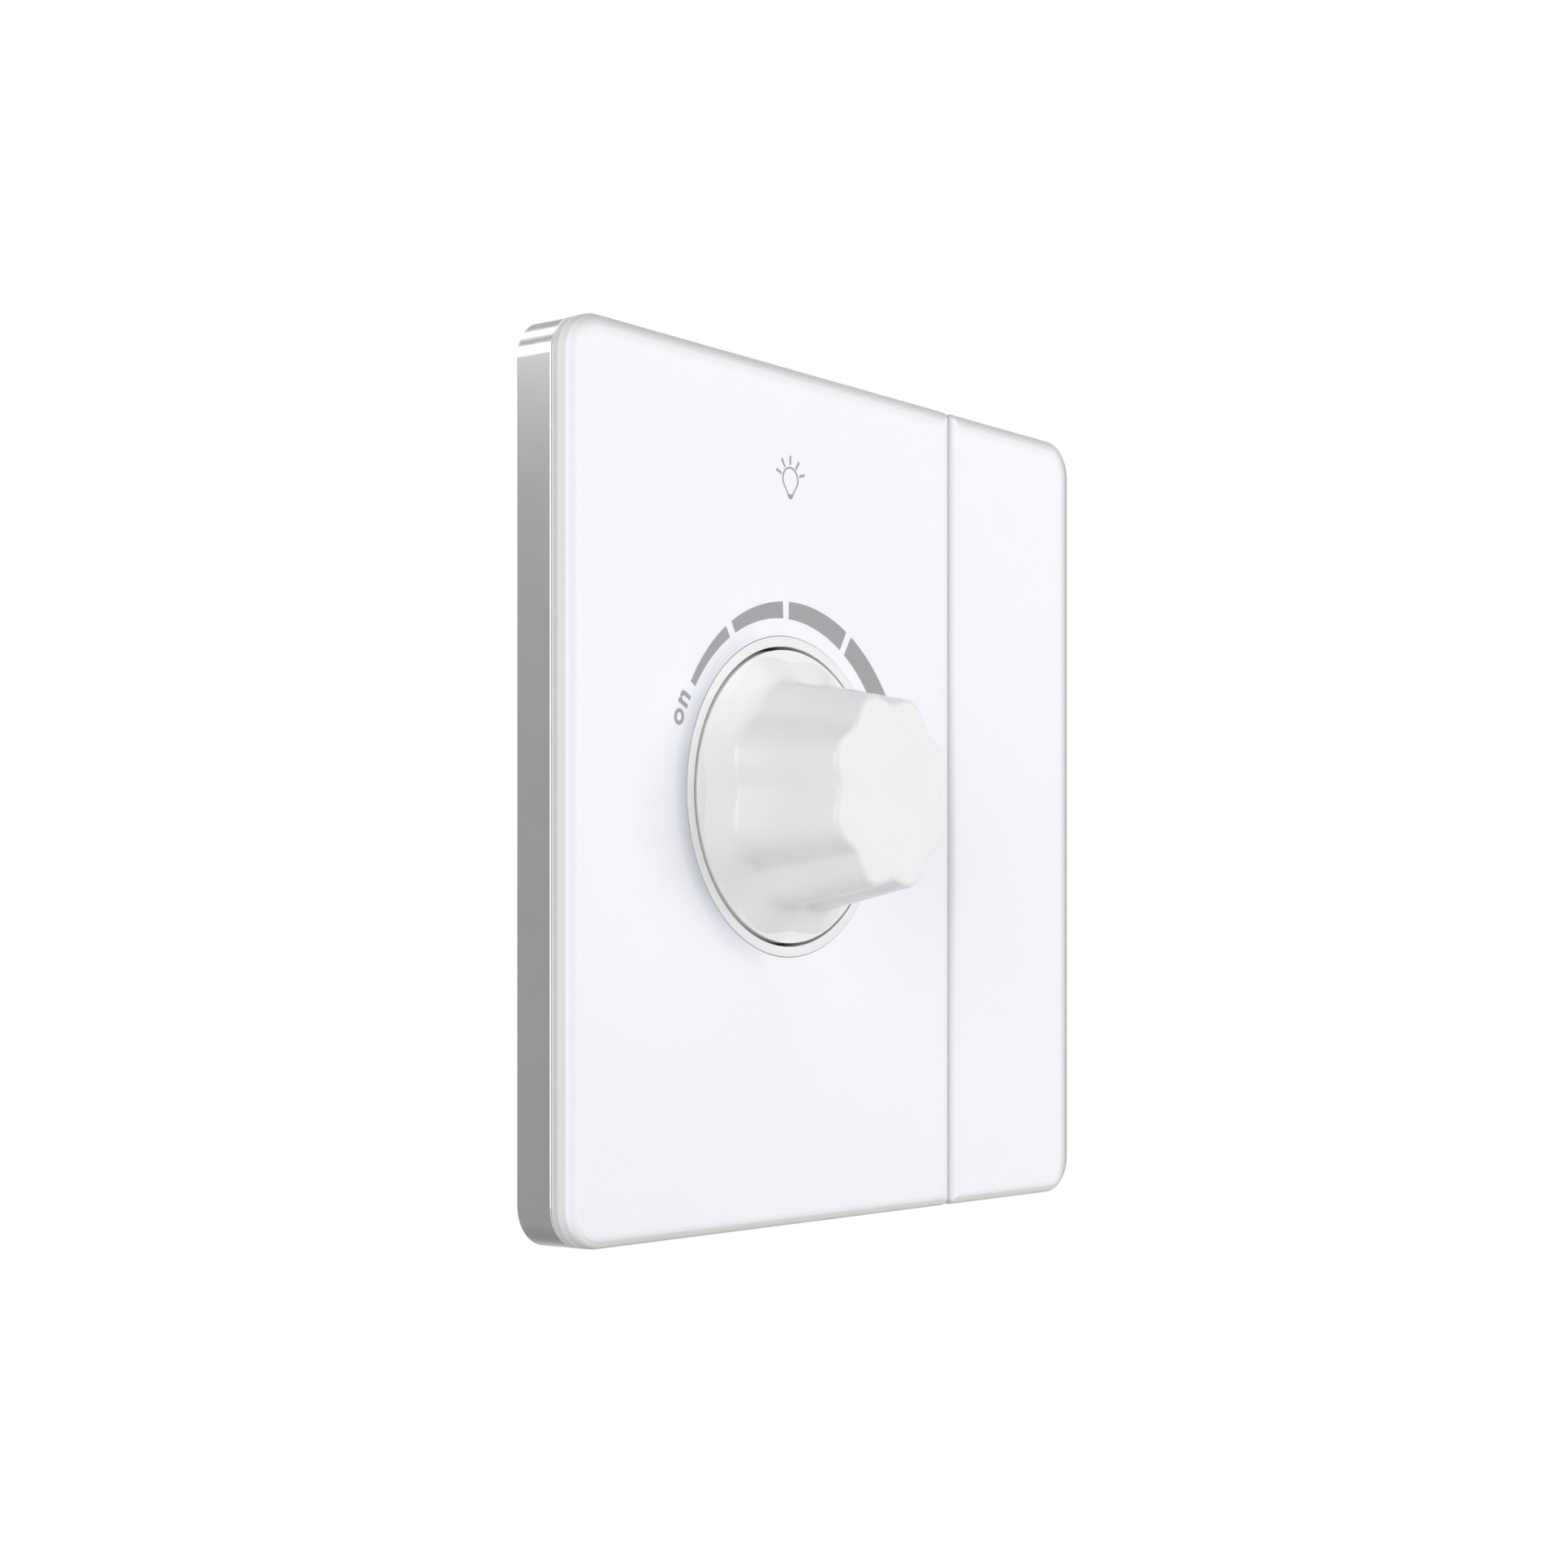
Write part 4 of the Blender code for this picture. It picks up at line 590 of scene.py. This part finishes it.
def make_panel(name, cad_node, radii, split, looks, hole=None):
    """Backed clear panel with a rounded front edge and, in the main one, the dial hole."""
    low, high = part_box(cad_node)
    rect = (low.x, high.x, low.z, high.z)
    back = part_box("trim_frame")[0].y - PANEL_BACK_GAP
    profile = panel_profile(low.y, back)
    bm = bmesh.new()
    # the print colour on the mesh also carries painted shade on the rims and beside the dial ring
    tone = bm.verts.layers.float_color.new("print")
    rows = skin(bm, [inset_loop(rect, radii, inset, y) for inset, y, _, _ in profile])
    bm.faces.ensure_lookup_table()
    rim_rows = [where for _, _, _, where in profile].index("margin") - 1
    for number in range(rim_rows * len(rows[0])):
        bm.faces[number].material_index = 1
    outer = inset_loop(rect, radii, 0.0, 0.0)
    inner = inset_loop(rect, radii, PANEL_BACK_CHAMFER, 0.0)
    outwards = [(far - near).normalized() for far, near in zip(outer, inner)]
    # painted shade on the rims, by side, and white print on the flat front
    for row, (_, _, place, where) in zip(rows, profile):
        for vertex, outward in zip(row, outwards):
            vertex[tone] = (*print_and_painted_rim_shade(place, where, (outward.x, outward.z), split), 1.0)
    front = [rows[-1]]
    rear = [rows[0]]
    if hole:
        middle, radius = hole
        wall = hole_rows(radius, low.y, back)
        rings = skin(bm, [ring_loop(r, y, DIAL_STEPS, middle) for r, y, _ in wall])
        # painted shade beside the dial ring
        for ring, (_, _, shade) in zip(rings, wall):
            for i, vertex in enumerate(ring):
                vertex[tone] = (*hole_colour(shade, 2 * math.pi * i / DIAL_STEPS), 1.0)
        front.append(rings[-1])
        rear.append(rings[0])
    fill(bm, front)
    fill(bm, rear)
    link(name, bm, [looks["panel"], looks["rim"]], "plate", [cad_node])


def make_frame(looks):
    """Silver frame; its front edge and lip have a smoother finish and a brighter colour, a painted
    highlight.
    """
    low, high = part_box("trim_frame")
    rect = (low.x, high.x, low.z, high.z)
    radii = [PLATE_CORNER_R] * 4
    edge = quarter_round(FRAME_EDGE_R, low.y, SMALL_EDGE_STEPS)
    profile = [(inset, high.y + low.y - y) for inset, y in reversed(edge)]
    # the front edge and lip get the painted highlight
    painted_highlight_from = len(profile)
    profile += edge
    profile.append((FRAME_LIP, low.y))
    painted_highlight_to = len(profile) - 1
    profile += [
        (FRAME_LIP, low.y + FRAME_REBATE),
        (FRAME_WALL, low.y + FRAME_REBATE),
        (FRAME_WALL, high.y),
    ]
    bm = bmesh.new()
    rows = skin(bm, [inset_loop(rect, radii, inset, y) for inset, y in profile], closed=True)
    bm.faces.ensure_lookup_table()
    count = len(rows[0])
    for number in range(painted_highlight_from * count, painted_highlight_to * count):
        bm.faces[number].material_index = 1
    finishes = [looks["silver"], looks["polished_painted_highlight"]]
    link("silver_frame", bm, finishes, "plate", ["trim_frame"])


def make_ring(looks, middle):
    low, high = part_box("dial_ring")
    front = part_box("front_panel")[0].y - RING_PROUD
    outer = (high.x - low.x) / 2
    inner = outer - RING_FACE
    edge = quarter_round(RING_EDGE_R, front, SMALL_EDGE_STEPS)
    profile = [(inner, high.y), (outer, high.y)]
    profile += [(outer - inset, y) for inset, y in edge]
    profile += [(inner + inset, y) for inset, y in reversed(edge)]
    bm = bmesh.new()
    skin(bm, [ring_loop(radius, y, DIAL_STEPS, middle) for radius, y in profile], closed=True)
    link("trim_ring", bm, [looks["ring"]], "plate", ["dial_ring"])


def lobe(angle):
    """From -1 in a flute to +1 on a lobe, with the lobes broader than the flutes."""
    swell = (1 - math.cos(KNOB_LOBES * angle)) / 2
    return 2 * swell ** KNOB_LOBE_CURVE - 1


def knob_inner_rows(low, high, shoulder, skirt_r):
    """(radius, y, wave, lift) rows from the shaft bore out to the rear of the skirt."""
    ceiling = low.y + KNOB_CROWN
    return [
        (KNOB_BORE_R, ceiling + KNOB_BORE_STEP, 0.0, 0.0),
        (KNOB_BORE_R, KNOB_HUB_REAR, 0.0, 0.0),
        (KNOB_HUB_R, KNOB_HUB_REAR, 0.0, 0.0),
        (KNOB_HUB_R, ceiling, 0.0, 0.0),
        (KNOB_END_R - KNOB_WALL, ceiling, 0.0, 0.0),
        (KNOB_BASE_R - KNOB_WALL, shoulder, 0.0, 0.0),
        (skirt_r - KNOB_WALL, high.y, 0.0, 0.0),
        (skirt_r, high.y, 0.0, 0.0),
    ]


def knob_outer_rows(low, panel_front, shoulder, skirt_r):
    """(radius, y, wave, lift) rows over the rim, up the flare from its wavy crease and up the body."""
    rim = panel_front - KNOB_SKIRT_PROUD
    rim_edge = quarter_round(KNOB_RIM_EDGE_R, rim, SMALL_EDGE_STEPS)
    rows = [(skirt_r - inset, y, 0.0, 0.0) for inset, y in rim_edge]
    start = (KNOB_CREASE_R, rim - KNOB_RIM_SLOPE * (skirt_r - KNOB_CREASE_R))
    out = (start[0] - KNOB_FLARE_OUT[0], start[1] - KNOB_FLARE_OUT[1])
    end = (KNOB_BASE_R, shoulder)
    up = (end[0] + KNOB_FLARE_UP[0], end[1] + KNOB_FLARE_UP[1])
    for step, (radius, y) in enumerate(bezier(start, out, up, end, FLARE_STEPS) + [end]):
        part = step / FLARE_STEPS
        wave = KNOB_CREASE_WAVE + (KNOB_LOBE_WAVE - KNOB_CREASE_WAVE) * part
        rows.append((radius, y, wave, KNOB_RIM_SLOPE * KNOB_CREASE_WAVE * (1 - part) ** 2))
    body_end = low.y + KNOB_END_EDGE_R
    neck = KNOB_NECK / (shoulder - body_end)
    rows.append((
        KNOB_BASE_R + (KNOB_END_R - KNOB_BASE_R) * neck,
        shoulder - KNOB_NECK,
        KNOB_LOBE_WAVE,
        0.0,
    ))
    end_edge = quarter_round(KNOB_END_EDGE_R, low.y)
    rows += [(KNOB_END_R - inset, y, KNOB_LOBE_WAVE, 0.0) for inset, y in end_edge]
    return rows


def make_knob(looks, middle):
    """Lofted eight-lobe knob with its flared skirt, wall and hub in one skin."""
    low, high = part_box("knob")
    panel_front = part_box("front_panel")[0].y
    shoulder = panel_front - KNOB_FLARE_HEIGHT
    skirt_r = (high.x - low.x) / 2 - KNOB_RUN
    rows = knob_inner_rows(low, high, shoulder, skirt_r)
    rows += knob_outer_rows(low, panel_front, shoulder, skirt_r)
    swells = [lobe(2 * math.pi * i / KNOB_STEPS) for i in range(KNOB_STEPS)]
    loops = []
    for radius, y, wave, lift in rows:
        loop = []
        for i, swell in enumerate(swells):
            angle = 2 * math.pi * i / KNOB_STEPS
            reach = radius + wave * swell
            loop.append(Vector((
                middle[0] + reach * math.cos(angle),
                y + lift * swell,
                middle[1] + reach * math.sin(angle),
            )))
        loops.append(loop)
    bm = bmesh.new()
    skin(bm, loops, capped=True)
    link("turning_knob", bm, [looks["white"]], "knob", ["knob"])


def ink_piece(name, rings, looks):
    """Thin print on the main panel's front, from an outer outline and holes in it."""
    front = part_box("front_panel")[0].y
    rear = front - INK_GAP
    bm = bmesh.new()
    near = []
    far = []
    for ring in rings:
        rows = skin(bm, [[Vector((x, y, z)) for x, z in ring] for y in (rear, rear - INK_THICK)])
        far.append(rows[0])
        near.append(rows[1])
    fill(bm, near)
    fill(bm, far)
    link(name, bm, [looks["ink"]], "plate")


def make_scale(looks):
    """Four curved bars that widen clockwise round the dial."""
    x, z = SCALE_CENTRE
    for number, (start, end) in enumerate(SCALE_SEGMENTS, start=1):
        outside = []
        inside = []
        for i in range(SCALE_STEPS + 1):
            degrees = start + (end - start) * i / SCALE_STEPS
            angle = math.radians(degrees)
            width = SCALE_START_WIDTH + SCALE_GROWTH * (SCALE_START_DEG - degrees)
            outer = SCALE_INNER_R + width
            outside.append((x + outer * math.cos(angle), z + outer * math.sin(angle)))
            inside.append((x + SCALE_INNER_R * math.cos(angle), z + SCALE_INNER_R * math.sin(angle)))
        ink_piece(f"scale_bar_{number}", [outside + inside[::-1]], looks)


def letter_place(degrees, middle):
    """Turns letter coordinates, right and up from the baseline, to the panel along the dial."""
    angle = math.radians(degrees)

    def place(u, v):
        r = LETTER_R + v
        x = middle[0] + r * math.cos(angle) + u * math.sin(angle)
        z = middle[1] + r * math.sin(angle) - u * math.cos(angle)
        return (x, z)

    return place


def make_letter_o(looks, middle):
    place = letter_place(LETTER_O_DEG, middle)
    half_u = LETTER_O_WIDTH / 2
    half_v = LETTER_HEIGHT / 2
    rings = []
    for inset in (0.0, LETTER_O_STROKE):
        ring = []
        for i in range(LETTER_O_STEPS):
            angle = 2 * math.pi * i / LETTER_O_STEPS
            u = (half_u - inset) * math.cos(angle)
            v = half_v + (half_v - inset) * math.sin(angle)
            ring.append(place(u, v))
        rings.append(ring)
    ink_piece("letter_o", rings, looks)


def letter_n_outline():
    """Foot of the stem, inner arch, foot of the leg, outer arch, notch and top of the stem."""
    half_u = LETTER_N_WIDTH / 2
    stem_in = LETTER_STROKE - half_u
    leg_in = half_u - LETTER_STROKE
    rise = half_u * LETTER_N_RISE
    spring = LETTER_HEIGHT - rise
    outline = [(-half_u, 0.0), (stem_in, 0.0)]
    reach = (leg_in - stem_in) / 2
    for i in range(LETTER_N_STEPS + 1):
        angle = math.pi * (1 - i / LETTER_N_STEPS)
        u = leg_in - reach + reach * math.cos(angle)
        v = spring - LETTER_N_DROP + reach * LETTER_N_INNER * math.sin(angle)
        outline.append((u, v))
    outline += [(leg_in, 0.0), (half_u, 0.0)]
    reach = (half_u - stem_in) / 2
    for i in range(LETTER_N_STEPS + 1):
        angle = math.pi * LETTER_N_SWEEP * i / LETTER_N_STEPS
        u = half_u - reach + reach * math.cos(angle)
        outline.append((u, spring + rise * math.sin(angle)))
    outline.append((stem_in, spring + rise * LETTER_N_NOTCH))
    outline += [(stem_in, LETTER_HEIGHT), (-half_u, LETTER_HEIGHT)]
    return outline


def make_letter_n(looks, middle):
    place = letter_place(LETTER_N_DEG, middle)
    ink_piece("letter_n", [[place(u, v) for u, v in letter_n_outline()]], looks)


def lamp_outline(inset):
    """Outline of a light bulb: round head, drawn-in neck and small tip."""
    half = LAMP_HALF - inset
    neck = LAMP_NECK_HALF - inset
    top = LAMP_TOP - inset
    tip = LAMP_TIP_Z + inset
    round_x = CIRCLE_PULL * half
    round_z = CIRCLE_PULL * (top - LAMP_SIDE_Z)
    right = bezier(
        (0, top),
        (round_x, top),
        (half, LAMP_SIDE_Z + round_z),
        (half, LAMP_SIDE_Z),
        LAMP_STEPS,
    )
    right += bezier(
        (half, LAMP_SIDE_Z),
        (half, LAMP_SIDE_Z - LAMP_SIDE_PULL),
        (neck + LAMP_NECK_PULL[0], LAMP_NECK_Z + LAMP_NECK_PULL[1]),
        (neck, LAMP_NECK_Z),
        LAMP_STEPS,
    )
    right += bezier(
        (neck, LAMP_NECK_Z),
        (neck * LAMP_TIP_TAPER[0], tip + LAMP_TIP_PULL),
        (neck * LAMP_TIP_TAPER[1], tip),
        (0, tip),
        LAMP_TIP_STEPS,
    )
    right.append((0, tip))
    left = [(-u, z) for u, z in reversed(right[1:-1])]
    return [(LAMP_X + u, z) for u, z in right + left]


def make_lamp_mark(looks):
    ink_piece("lamp_outline", [lamp_outline(0.0), lamp_outline(LAMP_STROKE)], looks)
    inner = [(x, z) for x, z in lamp_outline(LAMP_FILL_INSET) if z < LAMP_FILL_Z]
    ink_piece("lamp_tip", [inner], looks)
    for number, ends in enumerate(RAYS, start=1):
        (x0, z0), (x1, z1) = [(x * MM, z * MM) for x, z in ends]
        length = math.hypot(x1 - x0, z1 - z0)
        across = (-(z1 - z0) / length * RAY_WIDTH / 2, (x1 - x0) / length * RAY_WIDTH / 2)
        outline = [
            (x0 + across[0], z0 + across[1]),
            (x1 + across[0], z1 + across[1]),
            (x1 - across[0], z1 - across[1]),
            (x0 - across[0], z0 - across[1]),
        ]
        ink_piece(f"lamp_ray_{number}", [outline], looks)


def dress_cad(looks):
    """Give the CAD nodes that stay in view the finish that their record slot names."""
    for row in frame["record"]["subparts"]:
        piece = frame["nodes"][row["node"]]
        finish = looks[SLOT_FINISH[row["material_slot"]]]
        if piece.material_slots:
            piece.material_slots[0].material = finish
        else:
            piece.data.materials.append(finish)


def seen_directly(tree):
    """1 for rays from the camera, from a mirror surface or through glass, and 0 for light."""
    path = node(tree, "ShaderNodeLightPath")
    first = node(tree, "ShaderNodeMath", operation="MAXIMUM")
    second = node(tree, "ShaderNodeMath", operation="MAXIMUM")
    tree.links.new(path.outputs["Is Camera Ray"], first.inputs[0])
    tree.links.new(path.outputs["Is Glossy Ray"], first.inputs[1])
    tree.links.new(first.outputs["Value"], second.inputs[0])
    tree.links.new(path.outputs["Is Transmission Ray"], second.inputs[1])
    return second.outputs["Value"]


def make_world():
    """White all round for the camera; as light, strong from the front and faint from elsewhere."""
    world = bpy.data.worlds.new("studio")
    bpy.context.scene.world = world
    world.use_nodes = True
    tree = world.node_tree
    tree.nodes.clear()
    place = node(tree, "ShaderNodeTexCoord")
    facing = node(tree, "ShaderNodeVectorMath", operation="DOT_PRODUCT")
    facing.inputs[1].default_value = AMBIENT_FACING
    toward = node(tree, "ShaderNodeMath", operation="MAXIMUM")
    toward.inputs[1].default_value = 0.0
    focus = node(tree, "ShaderNodeMath", operation="POWER")
    focus.inputs[1].default_value = AMBIENT_FOCUS
    level = node(tree, "ShaderNodeMapRange")
    level.inputs["From Min"].default_value = 0.0
    level.inputs["From Max"].default_value = 1.0
    level.inputs["To Min"].default_value = AMBIENT_BACK
    level.inputs["To Max"].default_value = AMBIENT_FRONT
    ambient = node(tree, "ShaderNodeBackground", Color=AMBIENT_COLOUR)
    shown = node(tree, "ShaderNodeBackground", Color=WHITE, Strength=1.0)
    mix = node(tree, "ShaderNodeMixShader")
    out = node(tree, "ShaderNodeOutputWorld")
    tree.links.new(place.outputs["Generated"], facing.inputs[0])
    tree.links.new(facing.outputs["Value"], toward.inputs[0])
    tree.links.new(toward.outputs["Value"], focus.inputs[0])
    tree.links.new(focus.outputs["Value"], level.inputs["Value"])
    tree.links.new(level.outputs["Result"], ambient.inputs["Strength"])
    tree.links.new(seen_directly(tree), mix.inputs["Fac"])
    tree.links.new(ambient.outputs["Background"], mix.inputs[1])
    tree.links.new(shown.outputs["Background"], mix.inputs[2])
    tree.links.new(mix.outputs["Shader"], out.inputs["Surface"])


def make_floor():
    """Pale floor well below the plate: it keeps the shadow near the object and runs out to white."""
    bm = bmesh.new()
    bmesh.ops.create_grid(bm, x_segments=1, y_segments=1, size=FLOOR_SIZE / 2)
    mesh = bpy.data.meshes.new("floor")
    bm.to_mesh(mesh)
    bm.free()
    floor = bpy.data.objects.new("floor", mesh)
    floor.location = (0, 0, FLOOR_Z)
    bpy.context.scene.collection.objects.link(floor)
    material, tree, shader = new_tree("floor_pale")
    shader.inputs["Base Color"].default_value = FLOOR_COLOUR
    shader.inputs["Roughness"].default_value = FLOOR_ROUGH
    place = node(tree, "ShaderNodeTexCoord")
    length = node(tree, "ShaderNodeVectorMath", operation="LENGTH")
    fade = node(tree, "ShaderNodeMapRange", interpolation_type="SMOOTHSTEP")
    fade.inputs["From Min"].default_value = FLOOR_FADE[0]
    fade.inputs["From Max"].default_value = FLOOR_FADE[1]
    both = node(tree, "ShaderNodeMath", operation="MULTIPLY")
    glow = node(tree, "ShaderNodeEmission", Color=WHITE, Strength=1.0)
    mix = node(tree, "ShaderNodeMixShader")
    tree.links.new(place.outputs["Object"], length.inputs[0])
    tree.links.new(length.outputs["Value"], fade.inputs["Value"])
    tree.links.new(fade.outputs["Result"], both.inputs[0])
    tree.links.new(seen_directly(tree), both.inputs[1])
    tree.links.new(both.outputs["Value"], mix.inputs["Fac"])
    tree.links.new(shader.outputs["BSDF"], mix.inputs[1])
    tree.links.new(glow.outputs["Emission"], mix.inputs[2])
    tree.links.new(mix.outputs["Shader"], tree.nodes["Material Output"].inputs["Surface"])
    mesh.materials.append(material)


def make_lamp(name, place, size, energy, mirrored):
    """Square softbox that faces the dimmer; metal can be kept from mirroring it."""
    data = bpy.data.lights.new(name, "AREA")
    data.size = size
    data.energy = energy
    lamp = bpy.data.objects.new(name, data)
    lamp.location = place
    lamp.visible_camera = False
    lamp.visible_glossy = mirrored
    lamp.rotation_euler = (-Vector(place)).to_track_quat("-Z", "Y").to_euler()
    bpy.context.scene.collection.objects.link(lamp)


def make_camera():
    data = bpy.data.cameras.new("camera")
    data.sensor_width = SENSOR
    data.lens = FOCAL_PIXELS / PHOTO_SIZE * SENSOR
    data.shift_y = (HORIZON_ROW - PHOTO_SIZE / 2) / PHOTO_SIZE
    data.clip_start = CAMERA_CLIP
    camera = bpy.data.objects.new("camera", data)
    camera.location = CAMERA_AT
    camera.rotation_euler = (math.pi / 2, 0, -CAMERA_YAW)
    bpy.context.scene.collection.objects.link(camera)
    bpy.context.scene.camera = camera


def main():
    looks = make_materials()
    ring_low, ring_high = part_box("dial_ring")
    middle = ((ring_low.x + ring_high.x) / 2, (ring_low.z + ring_high.z) / 2)
    hole = (middle, (ring_high.x - ring_low.x) / 2 + HOLE_FIT)
    outer = PLATE_CORNER_R
    inner = SPLIT_CORNER_R
    make_panel("panel_main", "front_panel", (inner, outer, outer, inner), "right", looks, hole)
    make_panel("panel_strip", "side_strip", (outer, inner, inner, outer), "left", looks)
    make_frame(looks)
    make_ring(looks, middle)
    make_knob(looks, middle)
    make_scale(looks)
    make_letter_o(looks, middle)
    make_letter_n(looks, middle)
    make_lamp_mark(looks)
    dress_cad(looks)
    make_world()
    make_floor()
    for lamp in LAMPS:
        make_lamp(*lamp)
    make_camera()
    bpy.context.scene.view_settings.view_transform = "Standard"


main()
